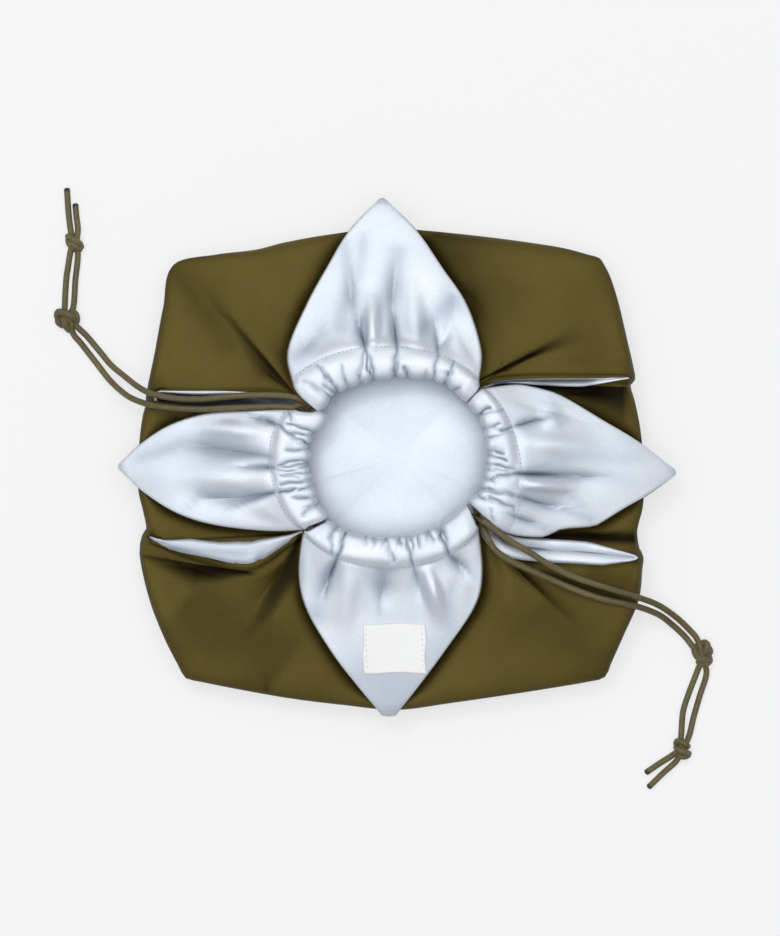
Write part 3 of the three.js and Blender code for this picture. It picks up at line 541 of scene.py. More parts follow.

# Painted shadows in folds of the satin: on the petals, on the lower left lip and in the slit roots
SATIN_SHADOWS = shadows((
    (-12.5, 42.8, -17.9, 62, 0.8, 2.8, 0.8, 2.4, 0.6, 0.38),
    (-17.9, 62, -20.4, 84, 2.8, 3, 2.4, 2.2, 0.38, 0.3),
    (-12, 45.4, -12.6, 58, 0.5, 1.2, 0.5, 0.1),
    (-0.2, 44.2, -3, 62, 0.9, 4, 0.9, 3.2, 0.55, 0.34),
    (-3, 62, 0.6, 82, 4, 4, 3.2, 3.6, 0.34, 0.32),
    (16.1, 41.2, 15.4, 50, 0.9, 2, 0.45, 0.25),
    (-41, 41, -29, 50, 4, 4, 0.28, 0.28),
    (48.6, -6.4, 72, -6.9, 1.1, 1.6, 0.8, 0.35),
    (72, -6.9, 92, -9.5, 1.6, 3.5, 0.35, 0.1),
    (46.6, -15, 64, -20.2, 1.1, 1.8, 0.5, 0.4),
    (64, -20.2, 77, -24.6, 1.8, 2.4, 0.4, 0.3),
    (46.4, -23.2, 59, -28, 0.8, 2, 0.45, 0.3),
    (48.4, 12.8, 61, 16.6, 0.7, 1.6, 0.5, 0.4),
    (63, 23, 64, 13, 2, 2, 0.15, 0.15),
    (51.3, -12.6, 67.4, -13.8, 1.2, 1.2, 0.2, 0.2),
    (67.4, -13.8, 74.8, -20.1, 1.2, 1.2, 0.2, 0.2),
    (54.7, -4, 73, 0.6, 3, 3, 0.12, 0.12),
    (73, 0.6, 96, -0.6, 3, 3, 0.12, 0.1),
    (-24.1, -41, -27, -49, 0.8, 0.9, 1.2, 4, 0.6, 0.4),
    (-27, -49, -32, -63, 0.9, 4, 4, 4, 0.4, 0.26),
    (-5.5, -45.5, -7, -60, 5.5, 1.6, 0.28, 0.3),
    (6.9, -44.4, 12.5, -56, 0.6, 1.5, 0.35, 0.05),
    (21.5, -52, 20.5, -68, 2.5, 2.5, 1.2, 1.2, 0.15, 0.15),
    (22, -39.9, 28.4, -45.3, 1.2, 1.8, 0.6, 0.35),
    (28.4, -45.3, 32.2, -48.8, 1.6, 2.5, 0.35, 0.1),
    (-2, -74, -2, -100, 30, 20, 0.1, 0.2),
    (-51.6, 0.3, -64, 1.5, 1.5, 3, 0.3, 0.36),
    (-64, 1.5, -86, 5.4, 3, 4, 0.36, 0.4),
    (-86, 5.4, -102, 0, 4, 2.5, 0.4, 0.22),
    (-49.2, -4, -66, -3.8, 1.4, 1.2, 0.5, 0.08),
    (-50, -14.1, -64.7, -19.6, 1, 1.4, 1, 4, 0.65, 0.45),
    (-65, -18, -78, -14.5, 3, 2.5, 0.35, 0.3),
    (-78, -14.5, -83.5, -20, 2.5, 1.5, 0.3, 0.2),
    (-49, 13.3, -60, 18.4, 1, 2, 0.9, 0.9, 0.6, 0.35),
    (-98.6, -30.8, -88.9, -36.4, 0.8, 0.8, 0.4, 0.5),
    (-98, -33, -46, -34, 4, 4, 8, 8, 0.2, 0.2),
    (-88.9, -36.4, -53.7, -39.4, 0.9, 0.9, 0.5, 0.4),
    (-36.4, 19.9, -39.6, 21.4, 0.7, 0.7, 0.95, 0.95),
    (35.4, 28.9, 49, 30.3, 1.2, 0.8, 0.4, 0.4, 0.97, 0.8),
    (31.2, -22.2, 33, -24.8, 0.5, 0.5, 0.95, 0.95),
    (-20, 70, -23, 52, 3, 6, 3, 4, 0.2, 0.3),
    (22, 62.6, 8, 49.6, 5, 4, 4, 4, 0.42, 0.3),
    (-13.6, 87, -15.6, 72, 3, 3, 3, 2, 0.24, 0.15),
))


# How sharply a painted fold shadow ends, on vertices and in the material, its overrun, and its lowest place
SHADE_POWER = 1.8
FOLD_SHADOW_POWER = 2.8
SHADE_OVERRUN = 3.0
FOLD_SHADOW_Z = (0.002, 0.004)


def fold_shade(darks: tuple[Shadow, ...], x: Array, y: Array) -> Array:
    """Share of painted shade that dark folds put on a surface.

    Args:
        darks: The dark folds.
        x: Places across.
        y: Places deep.

    Returns:
        The share at each place, from 0 to 1.
    """
    darkest = np.zeros(np.shape(x))
    for row in darks:
        run, along, across = along_run(row, x, y)
        share = np.clip(along / run, 0.0, 1.0)
        width = np.where(across > 0.0, mix(row.left0, row.left1, share), mix(row.right0, row.right1, share))
        far = (np.abs(across) / width) ** SHADE_POWER + ((along - share * run) / SHADE_OVERRUN) ** 2
        strength = mix(row.strength0, row.strength1, share)
        darkest = np.maximum(darkest, strength * np.exp(-far))
    return darkest


def outline_distance(outline: Array, x: Array, y: Array) -> Array:
    """Distance from places to a closed outline seen from above, below 0 inside it.

    Args:
        outline: The outline's corners in order.
        x: Places across.
        y: Places deep.

    Returns:
        The distance at each place.
    """
    nearest = np.full(np.shape(x), np.inf)
    inside = np.zeros(np.shape(x), bool)
    for (x0, y0), (x1, y1) in zip(outline, np.roll(outline, -1, axis=0)):
        run_x, run_y = x1 - x0, y1 - y0
        reach = max(run_x**2 + run_y**2, TINY)
        share = np.clip(((x - x0) * run_x + (y - y0) * run_y) / reach, 0.0, 1.0)
        nearest = np.minimum(nearest, np.hypot(x - x0 - share * run_x, y - y0 - share * run_y))
        if y0 != y1:
            crossing = x0 + (y - y0) * run_x / run_y
            inside ^= ((y0 > y) != (y1 > y)) & (x < crossing)
    return np.where(inside, -nearest, nearest)


# Wave lengths of slack cloth, and what their heights add up to
SLACK_WAVES = (70.0, 52.0, 40.0, 31.0, 24.0, 19.0)
SLACK_SUM = 3.0


def slack(x: Array, y: Array, size: float, seed: int) -> Array:
    """Slight unevenness of lying cloth.

    Args:
        x: Places across.
        y: Places deep.
        size: The height of the unevenness.
        seed: Picks one pattern.

    Returns:
        The height at each place.
    """
    draw = np.random.RandomState(seed)
    total = np.zeros(np.broadcast(x, y).shape)
    for wave in SLACK_WAVES:
        angle, phase = draw.uniform(0, 2 * math.pi, 2)
        turn = 2 * math.pi / wave
        total += (wave / SLACK_WAVES[0]) * np.sin(turn * (x * math.cos(angle) + y * math.sin(angle)) + phase)
    return size * total / SLACK_SUM


# Wrinkles that fan out from a slit root: waves to a turn, the fine ones' share and twist, and their reach
FAN_BROAD = 9.0
FAN_FINE = 15.0
FAN_FINE_SHARE = 0.7
FAN_TWIST = 0.02
FAN_REACH = 34.0
FAN_START = 16.0


def fan_wrinkles(x: Array, y: Array, size: float) -> Array:
    """Fine wrinkles that fan out over the roof from the slit roots.

    Args:
        x: Places across.
        y: Places deep.
        size: The height of the wrinkles where they are strongest.

    Returns:
        The height at each place.
    """
    total = np.zeros(np.broadcast(x, y).shape)
    for index, (root_x, root_y) in enumerate(SLIT_ROOTS):
        reach = np.hypot(x - root_x, y - root_y)
        angle = np.arctan2(y - root_y, x - root_x)
        fine = np.sin(FAN_FINE * angle + 2.0 * index + FAN_TWIST * reach)
        waves = np.sin(FAN_BROAD * angle + index) + FAN_FINE_SHARE * fine
        total += waves * np.exp(-(reach / FAN_REACH) ** 2) * smooth_step(reach / FAN_START)
    return size * total


def activate(thing: Object) -> None:
    """Select one object alone and make it active."""
    bpy.ops.object.select_all(action="DESELECT")
    thing.select_set(True)
    bpy.context.view_layer.objects.active = thing


def coordinates(mesh: Mesh) -> Array:
    """A mesh's vertices as rows of x, y and z."""
    flat = np.empty(len(mesh.vertices) * 3)
    mesh.vertices.foreach_get("co", flat)
    return flat.reshape(-1, 3)


def place_vertices(mesh: Mesh, places: Array) -> None:
    """Move a mesh's vertices to the given rows."""
    mesh.vertices.foreach_set("co", np.ascontiguousarray(places, float).ravel())
    mesh.update()


def rename(thing: Object, name: str) -> None:
    """Give an object and its mesh one name."""
    thing.name = name
    thing.data.name = name


def mapped_grid(name: str, places: Array, values: dict[str, Array] | None = None) -> Object:
    """Add a grid and lay its vertices on a surface.

    Args:
        name: The new object's name.
        places: The surface in metres, by column, row and axis. Columns cross rows to give the front side.
        values: Numbers to keep at the vertices, by name.

    Returns:
        The new object.
    """
    columns, rows = places.shape[0] - 1, places.shape[1] - 1
    bpy.ops.object.select_all(action="DESELECT")
    bpy.ops.mesh.primitive_grid_add(x_subdivisions=columns, y_subdivisions=rows, size=1.0, location=(0, 0, 0))
    thing = bpy.context.active_object
    rename(thing, name)
    flat = coordinates(thing.data)
    column = np.rint((flat[:, 0] + 0.5) * columns).astype(int)
    row = np.rint((flat[:, 1] + 0.5) * rows).astype(int)
    place_vertices(thing.data, places[column, row])
    for label, grid in (values or {}).items():
        kept = thing.data.attributes.new(label, "FLOAT", "POINT")
        kept.data.foreach_set("value", grid[column, row].astype(np.float32))
    return thing


def join_and_merge(things: list[Object], name: str, reach: float) -> Object:
    """Join objects into the first one and merge the vertices that meet.

    Args:
        things: The objects.
        name: The joined object's name.
        reach: The distance within which vertices merge.

    Returns:
        The joined object.
    """
    bpy.ops.object.select_all(action="DESELECT")
    for thing in things:
        thing.select_set(True)
    bpy.context.view_layer.objects.active = things[0]
    if len(things) > 1:
        bpy.ops.object.join()
    joined = bpy.context.active_object
    rename(joined, name)
    bpy.ops.object.mode_set(mode="EDIT")
    bpy.ops.mesh.select_all(action="SELECT")
    bpy.ops.mesh.remove_doubles(threshold=reach)
    bpy.ops.object.mode_set(mode="OBJECT")
    return joined


# Rounding of a cord's end: steps ahead and the radius left, then its length and the fade of a sealed tip
CORD_CAP = ((0.0, 1.0), (0.5, 0.87), (0.85, 0.53), (1.0, 0.02))
CAP_LENGTH = 0.7
SEAL_FADE = 0.0008
SEAL_FADES = 2.6


def tube(name: str, path: Array, radius: float | Array, sides: int, tip: float = 0.0) -> Object:
    """Model a round cord along a path, with rounded ends.

    Args:
        name: The new object's name.
        path: The centre line as rows.
        radius: The cord's radius, or one for each row.
        sides: How many sides it has.
        tip: How dark its far tip is, from 0 to 1.

    Returns:
        The new object, with its length in metres along V of its UV map.
    """
    runs = np.gradient(path, axis=0)
    runs /= np.linalg.norm(runs, axis=1)[:, None]
    side = np.cross(runs[0], (0.0, 0.0, 1.0))
    if np.linalg.norm(side) < TINY:
        side = np.array((1.0, 0.0, 0.0))
    rings, lengths, travelled = [], [], 0.0
    angles = np.linspace(0.0, 2 * math.pi, sides + 1)
    radii = np.broadcast_to(radius, len(path))
    for index, centre in enumerate(path):
        run = runs[index]
        side = side - run * np.dot(side, run)
        side /= np.linalg.norm(side)
        other = np.cross(run, side)
        circle = np.outer(np.cos(angles), side) + np.outer(np.sin(angles), other)
        travelled += 0.0 if index == 0 else float(np.linalg.norm(centre - path[index - 1]))
        cap = CORD_CAP if index == len(path) - 1 else CORD_CAP[:1]
        if index == 0:
            cap = [(-ahead, share) for ahead, share in reversed(CORD_CAP)]
        for ahead, share in cap:
            rings.append(centre + run * radii[index] * ahead * CAP_LENGTH + circle * radii[index] * share)
            lengths.append(travelled + radii[index] * ahead * CAP_LENGTH)
    places = np.array(rings).transpose(1, 0, 2)
    # The sealed tip's own dark colour, kept in the attribute that carries painted shade on the cloth
    sealed = tip * smooth_step((np.array(lengths) - lengths[-1]) / SEAL_FADE + SEAL_FADES)
    thing = mapped_grid(name, places, {"shade": np.tile(sealed, (sides + 1, 1))})
    map_layer = thing.data.uv_layers.active.data
    flat = np.empty(len(map_layer) * 2)
    map_layer.foreach_get("uv", flat)
    pairs = flat.reshape(-1, 2)
    row = np.rint(pairs[:, 1] * (len(rings) - 1)).astype(int)
    pairs[:, 1] = np.array(lengths)[row]
    map_layer.foreach_set("uv", pairs.ravel())
    return join_and_merge([thing], name, MERGE_REACH)


def cast_down(thing: Object, x: float, y: float) -> Triple | None:
    """First place of a piece that a ray from above meets, in metres, or None."""
    hit, place, _, _ = thing.ray_cast((x, y, RAY_HEIGHT), (0.0, 0.0, -1.0))
    return tuple(place) if hit else None


def draped(thing: Object, spots: ArrayLike) -> Array:
    """Places of a piece under a line seen from above, in metres, without those that miss it."""
    places = [cast_down(thing, x, y) for x, y in spots]
    return np.array([place for place in places if place is not None])


def dress(thing: Object, finish: Material) -> None:
    """Give a piece its finish and its body."""
    thing.data.materials.clear()
    thing.data.materials.append(finish)
    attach(thing, BODY)


def thicken(thing: Object, wall: float, offset: float, group: str = "", least: float = 0.0) -> None:
    """Smooth a surface and give it a wall.

    Args:
        thing: The surface.
        wall: The wall's thickness.
        offset: 1 when the wall grows forward, -1 when it grows back.
        group: The vertex group that thins the wall, if any.
        least: The thinnest wall's share.
    """
    activate(thing)
    bpy.ops.object.shade_smooth()
    solid = thing.modifiers.new("wall", "SOLIDIFY")
    solid.thickness = wall
    solid.offset = offset
    solid.vertex_group = group
    solid.thickness_vertex_group = least
    bpy.ops.object.modifier_apply(modifier=solid.name)


@dataclass
class PouchForm:
    """The middle surface of the cloth, in millimetres, worked out from the tables.

    A pair of rows, or of a place and a length, gives where an effect starts and over how much it grows.
    """

    floor_z: float = 1.2
    fold_z: float = 7.0
    floor_inset: float = 12.0
    floor_shares: Numbers = (0.45, 0.8, 1.0)
    rise_inset: float = 3.6
    rise_z: float = 3.4
    shoulder_inset: float = 1.2
    mouth_z: float = 21.0
    rim_z: float = 12.0
    half_width: float = 103.0
    half_depth: float = 100.0
    squareness: float = 4.0
    mouth_ratio: float = 0.34
    fall: float = 1.6
    tight_room: float = 20.0
    tight_start: float = 0.2
    base_room: float = 0.4
    shoulder_room: float = 0.3
    lip_room: float = 0.25
    lean_room: float = 0.3
    roof_guides: int = 5
    slit_outs: Numbers = (5.0, 1.4, 0.0)
    mouth_outs: Numbers = (7.0, 2.4, 0.4)
    slit_rises: Numbers = (0.8, 2.6)
    mouth_rises: Numbers = (0.9, 3.0)
    pinch_least: float = 0.1
    pinch_units: Pair = (0.04, 0.3)
    root_units: float = 0.22
    nose_rise: float = 9.0
    nose_end_rise: float = 8.6
    bow_flat: float = 0.6
    bow_rows: Pair = (1.0, 2.0)
    early_lift: float = 1.2
    fold_gain: float = 1.5
    fold_rows: Pair = (1.75, 0.5)
    rest_rows: Pair = (STITCH_ROW, 1.5)
    rest_low: float = -0.5
    petal_slack: float = 0.6
    petal_seed: int = 11
    roof_slack: float = 0.8
    roof_seed: int = 5
    fan_size: float = 0.45
    sink: float = 8.0
    sink_width: float = 2.6
    sink_margin: float = 1.0
    sink_rim: float = 0.1
    sink_row: float = 1.4
    sink_rows: int = 22
    gather_depth: float = 2.6
    gather_width: float = 1.0
    gather_gain: float = 1.3
    gather_lobe: float = 0.6
    gather_near: float = 3.0
    gather_rows: float = 0.9
    gather_ends: float = 8.0
    left_lobe: Triple = (0.93, 5.0, 4.0)
    noses: list[tuple[Array, Array, float]] = field(init=False)

    def __post_init__(self) -> None:
        """Find where the gathers cross the nose of each casing."""
        self.noses = []
        for panel in range(PANELS):
            row = PETALS[panel][0]
            level, deep = (0, 1) if PETAL_AXES[panel][0] == 0.0 else (1, 0)
            start, end = (row.start_x, row.start_y), (row.end_x, row.end_y)
            span = end[level] - start[level]
            found = []
            for crease in CREASES[panel]:
                column = (crease[level] - start[level]) / span
                off = (2.0 * column - 1.0) ** 2
                bulge = row.bow * (1.0 - off) * (1.0 + self.bow_flat * off) * PETAL_AXES[panel][deep]
                nose = mix(start[deep], end[deep], column) + bulge
                if abs(crease[deep] - nose) < self.gather_near:
                    found.append((column, crease.depth))
            table = np.array(found)
            self.noses.append((table[:, 0], table[:, 1], abs(span)))

    def scallop(self, panel: int, column: Array) -> Array:
        """Find how far the gathers draw the nose of a casing back from the mouth.

        Args:
            panel: The petal's number.
            column: From 0 to 1, clockwise.

        Returns:
            The distance at each column.
        """
        centres, depths, span = self.noses[panel]
        away = (np.asarray(column)[..., None] - centres) * span / self.gather_width
        dips = np.minimum((self.gather_gain * depths * np.exp(-away**2)).sum(axis=-1), 1.0)
        drawn = self.gather_depth * dips - self.gather_lobe
        if panel == PANELS - 1:
            centre, width, size = self.left_lobe
            drawn = drawn - size * np.exp(-((column - centre) * span / width) ** 2)
        return drawn

    def ratio(self, x: Array, y: Array) -> Array:
        """Find how far out places lie.

        Args:
            x: Places across.
            y: Places deep.

        Returns:
            0 in the middle, about 1 at the rim.
        """
        across = np.abs(x / self.half_width) ** self.squareness
        deep = np.abs(y / self.half_depth) ** self.squareness
        return (across + deep) ** (1.0 / self.squareness)

    def roof(self, x: Array, y: Array) -> Array:
        """Height of the plain roof at a place."""
        out = np.maximum(0.0, (self.ratio(x, y) - self.mouth_ratio) / (1.0 - self.mouth_ratio))
        return mix(self.mouth_z, self.rim_z, out**self.fall)

    def petal_sink(self, x: Array, y: Array) -> Array:
        """Find how far the roof sinks under and close beside the petals.

        Args:
            x: Places across.
            y: Places deep.

        Returns:
            The depth at each place.
        """
        rows = np.linspace(self.sink_row, TIP_ROW, self.sink_rows)
        deepest = np.zeros(np.shape(x))
        for panel in range(PANELS):
            start = self.petal_plan(panel, rows, np.zeros_like(rows))
            end = self.petal_plan(panel, rows, np.ones_like(rows))
            away = outline_distance(np.concatenate((start, end[::-1])), x, y)
            deepest = np.maximum(deepest, np.exp(-np.maximum(away + self.sink_margin, 0.0) / self.sink_width))
        return self.sink * deepest * smooth_step((1.0 - self.ratio(x, y)) / self.sink_rim)

    def roof_rise(self, x: Array, y: Array, loose: bool = False) -> Array:
        """Height that the folds, wrinkles and slack of the roof add to it, or to its inner cloth."""
        rise = fold_height(ROOF_FOLDS, x, y, loose) + slack(x, y, self.roof_slack, self.roof_seed)
        return rise if loose else rise + fan_wrinkles(x, y, self.fan_size)

    def petal_plan(self, panel: int, row: Array, column: Array) -> Array:
        """Place on a petal from above.

        Args:
            panel: The petal's number, clockwise from the top.
            row: From 0 at the nose to 7 at the tip.
            column: From 0 to 1, clockwise.

        Returns:
            The places, with x and y on the last axis.
        """
        at, *columns = zip(*PETALS[panel])
        start_x, start_y, end_x, end_y, bow = (smooth_through(at, values, row) for values in columns)
        off = (2.0 * column - 1.0) ** 2
        flat = self.bow_flat * (1.0 - ramp(row, *self.bow_rows))
        drawn = self.scallop(panel, column) * (1.0 - smooth_step(row / self.gather_rows))
        bulge = bow * (1.0 - off) * (1.0 + flat * off) + drawn * smooth_step(self.gather_ends * (1.0 - off))
        x = mix(start_x, end_x, column) + PETAL_AXES[panel][0] * bulge
        y = mix(start_y, end_y, column) + PETAL_AXES[panel][1] * bulge
        return np.stack((x, y), axis=-1)

    def plan_row(self, row: Array) -> Array:
        """Where a row lies from above: rows crowd at the nose, where the cloth turns down."""
        early = np.clip(row, 0.0, 1.0)
        return np.where(row < 1.0, 2.0 * early**2 - early**3, row)

    def petal(self, panel: int, row: Array, column: Array) -> Array:
        """Petal surface by row and column, with its folds.

        Args:
            panel: The petal's number.
            row: From 0 at the nose to 7 at the tip.
            column: From 0 to 1, clockwise.

        Returns:
            The places, with x, y and z on the last axis.
        """
        early = np.clip(row, 0.0, 1.0)
        lift_row = np.where(row < 1.0, early + self.early_lift * early * (1.0 - early) ** 2, row)
        plan = self.petal_plan(panel, self.plan_row(row), column)
        x, y = plan[..., 0], plan[..., 1]
        at, middles, edges = zip(*PETAL_LIFT)
        middle = smooth_through(at, middles, lift_row)
        edge = smooth_through(at, edges, lift_row)
        lift = mix(middle, edge, (2.0 * column - 1.0) ** 2)
        uneven = slack(x, y, self.petal_slack, self.petal_seed + panel)
        folds = self.fold_gain * fold_height(PETAL_FOLDS[panel], x, y) + uneven
        resting = ramp(row, *self.rest_rows) * np.maximum(self.roof_rise(x, y), self.rest_low)
        z = self.roof(x, y) + lift + ramp(row, *self.fold_rows) * folds + resting
        return np.stack((x, y, z), axis=-1)

    def inner_edge(self, any_turn: float) -> Array:
        """Find where the roof ends above the hollow.

        Args:
            any_turn: A place in the turn.

        Returns:
            The place from above.
        """
        turn = any_turn % TURN_UNITS
        panel = int(turn // PANEL_UNITS)
        unit = turn - panel * PANEL_UNITS
        before_mouth = unit < MOUTH_FIRST
        column = (unit - MOUTH_FIRST) / (MOUTH_LAST - MOUTH_FIRST)
        if MOUTH_FIRST <= unit <= MOUTH_LAST:
            return self.petal_plan(panel, np.array(0.0), np.array(column))
        outward = MOUTH_FIRST - unit if before_mouth else unit - MOUTH_LAST
        if outward <= 1.0 - TIP_UNITS:
            edge = SLIT_EDGES[panel][0 if before_mouth else 1]
            corner = self.petal_plan(panel, np.array(0.0), np.array(0.0 if before_mouth else 1.0))
            knots = np.vstack((corner, np.array(edge.points)))
            run = distances(knots)
            place = run[-1] * outward / (1.0 - TIP_UNITS)
            return np.array([float(smooth_through(run, values, place)) for values in knots.T])
        slit = int(round(turn / PANEL_UNITS)) % PANELS
        before = np.array(SLIT_EDGES[slit - 1][1].points[-1])
        after = np.array(SLIT_EDGES[slit][0].points[-1])
        middle = (before + after) / 2.0
        angle = (math.pi / 2) * (1.0 - (unit if before_mouth else unit - PANEL_UNITS) / TIP_UNITS)
        beside = (after - before) / 2.0 * math.cos(angle)
        return middle + beside + (np.array(SLIT_TIPS[slit]) - middle) * math.sin(angle)

    def into_cloth(self, turn: float) -> Array:
        """Find the level direction from the inner edge into the cloth, square to the edge.

        Args:
            turn: A place in the turn.

        Returns:
            The direction from above.
        """
        here = self.inner_edge(turn)
        one = here - self.inner_edge(turn - EDGE_STEP)
        other = self.inner_edge(turn + EDGE_STEP) - here
        run = one / np.linalg.norm(one) + other / np.linalg.norm(other)
        run /= np.linalg.norm(run)
        return np.array((-run[1], run[0]))

    def root_share(self, unit: Array) -> Array:
        """1 for rays that end at a casing, falling to 0 a short way along the slits."""
        return smooth_step(1.0 - np.maximum(np.abs(unit - PANEL_MIDDLE) - 1.0, 0.0) / self.root_units)

    def section(self, turn: float) -> Array:
        """Find the guide points of one section of the body.

        Args:
            turn: The section's place in the turn.

        Returns:
            The points, from the middle of the floor to the inner edge.
        """
        at, *columns = zip(*OUTLINE)
        fold = np.array([float(smooth_through(at, values, turn, TURN_UNITS)) for values in columns])
        radius = float(np.hypot(*fold))
        floor_edge = 1.0 - self.floor_inset / radius
        points = [np.array((0.0, 0.0, self.floor_z))]
        points += [np.append(fold * floor_edge * share, self.floor_z) for share in self.floor_shares]
        points.append(np.append(fold * (1.0 - self.rise_inset / radius), self.rise_z))
        points.append(np.append(fold, self.fold_z))
        return np.array(points + self.upper_section(turn, fold))

    def upper_section(self, turn: float, fold: Array) -> list[Array]:
        """Find the guide points of one section of the roof.

        Args:
            turn: The section's place in the turn.
            fold: Where the section crosses the fold round the pouch.

        Returns:
            The points, from the shoulder to the inner edge.
        """
        panel = int(turn % TURN_UNITS // PANEL_UNITS)
        unit = turn % TURN_UNITS - panel * PANEL_UNITS
        from_middle = abs(unit - PANEL_MIDDLE)
        at_mouth = MOUTH_FIRST <= unit <= MOUTH_LAST
        edge = self.inner_edge(turn)
        room = float(np.hypot(*(fold - edge)))
        out = (fold - edge) / room
        loose = min(1.0, room / self.tight_room)
        near = float(self.root_share(np.array(unit)))
        into = out
        if not at_mouth:
            past_root = max(1.0 + self.root_units, from_middle) * (1.0 if unit > PANEL_MIDDLE else -1.0)
            into = self.into_cloth(turn - unit + PANEL_MIDDLE + past_root) * (1.0 - near) + out * near
        into = into / np.linalg.norm(into)
        pinch = mix(self.pinch_least, 1.0, float(ramp(np.abs(from_middle - 1.0), *self.pinch_units)))
        tight = loose * min(1.0, loose + self.tight_start) * pinch
        outs = [mix(slit, mouth, near) * tight for slit, mouth in zip(self.slit_outs, self.mouth_outs)]
        base = edge + into * min(outs[0], room * self.base_room)
        base_z = float(self.roof(*base))
        shoulder = fold - out * min(self.shoulder_inset, room * self.shoulder_room)
        half_up = (self.fold_z + base_z) / 2.0
        shoulder_z = mix(half_up, float(self.roof(*shoulder)), loose)
        points = []
        for share in np.linspace(0.0, 1.0, self.roof_guides):
            place = mix(shoulder, base, share)
            plain = mix(shoulder_z, base_z, share)
            points.append(np.append(place, mix(plain, float(self.roof(*place)), loose)))
        for end_out, rise in zip(outs[1:], self.mouth_rises if at_mouth else self.slit_rises):
            points.append(np.append(edge + into * min(end_out, room * self.lip_room), base_z + rise))
        if at_mouth:
            nose_rise = mix(self.nose_rise, self.nose_end_rise, (unit - PANEL_MIDDLE) ** 2)
            points.append(np.append(edge, float(self.roof(*edge)) + nose_rise))
        else:
            lip = SLIT_EDGES[panel][0 if unit < PANEL_MIDDLE else 1]
            lean = float(np.interp(from_middle - 1.0, np.linspace(0.0, 1.0, len(lip.lean)), lip.lean))
            points.append(np.append(edge + into * min(lean * loose, room * self.lean_room), base_z + lip.lip))
        return points


@dataclass
class ClothFinish:
    """Sizes that both cloths share, in millimetres, and the painted shade and painted light put on them.

    A pair gives where an effect starts and over how much it grows.
    """

    shell_stand: float = 1.0
    satin_stand: float = 0.75
    seam_stand: float = 0.12
    seam_round: float = 1.5
    nose_round: float = 0.6
    under_length: float = 30.0
    tip_length: float = 12.0
    wall: float = 0.5
    wall_base: float = 0.08
    wall_least: float = 0.05
    wall_floor: float = 0.02
    swell_cover: float = 0.2
    swell_full: float = 1.2
    swell_row: float = 1.6
    swell_round: float = 0.6
    under_rows: float = 0.7
    end_hold: float = 0.55
    end_columns: float = 0.05
    crease_end: float = 0.9
    crease_gain: float = 1.35
    crease_wobble: Triple = (0.25, 0.9, 1.7)
    crease_turn: float = 2.4
    crease_sides: Pair = (0.8, 1.5)
    # Painted shade along the cores of the casing creases: its width, and its strength
    crease_dark: Pair = (0.24, 0.22)
    crease_shade: float = 0.85
    stitch_margin: float = 0.1
    slit_sink: float = 0.6
    sink_clear: float = 2.0
    # Painted shade in the sunk pockets beside the petals
    pocket_shade: float = 0.95
    pocket_power: float = 1.3
    # Height above which the broad painted shade lies on the roof
    tone_z: Pair = (6.0, 1.5)
    # Painted shade on the shell's steep outer rim
    rim_shade: float = 0.6
    rim_steep: Pair = (0.8, 0.6)
    rim_ratio: Pair = (0.86, 0.06)
    # Where painted fold shadows reach the satin: high up, far out, and above the floor
    satin_high: Pair = (17.5, 1.5)
    satin_out: Pair = (60.0, 5.0)
    satin_low: Pair = (5.0, 1.5)
    # Painted shade inside the hollow, and a painted light patch in the upper left slit
    inner_shade: float = 0.97
    inner_reach: Pair = (46.0, 14.0)
    inner_steps: float = 1.2
    glint: tuple[float, float, float, float] = (-56.0, 22.4, 9.0, 1.6)
    glint_strength: float = 0.7
    floor_slack: float = 15.0
    # Painted shade over the satin floor of the mouth, and a painted shadow towards its top
    floor_shade: float = 0.05
    top_shadow: float = 0.15
    top_shadow_y: Pair = (13.0, 10.0)
    slack_reach: float = 68.0
    slack_fall: float = 34.0
    level_slack: float = 0.5
    level_seed: int = 3
    edge_margin: float = 0.35
    edge_rows: Pair = (1.0, 0.6)
    row_crowding: float = 1.25
    roof_hang: float = 1.4


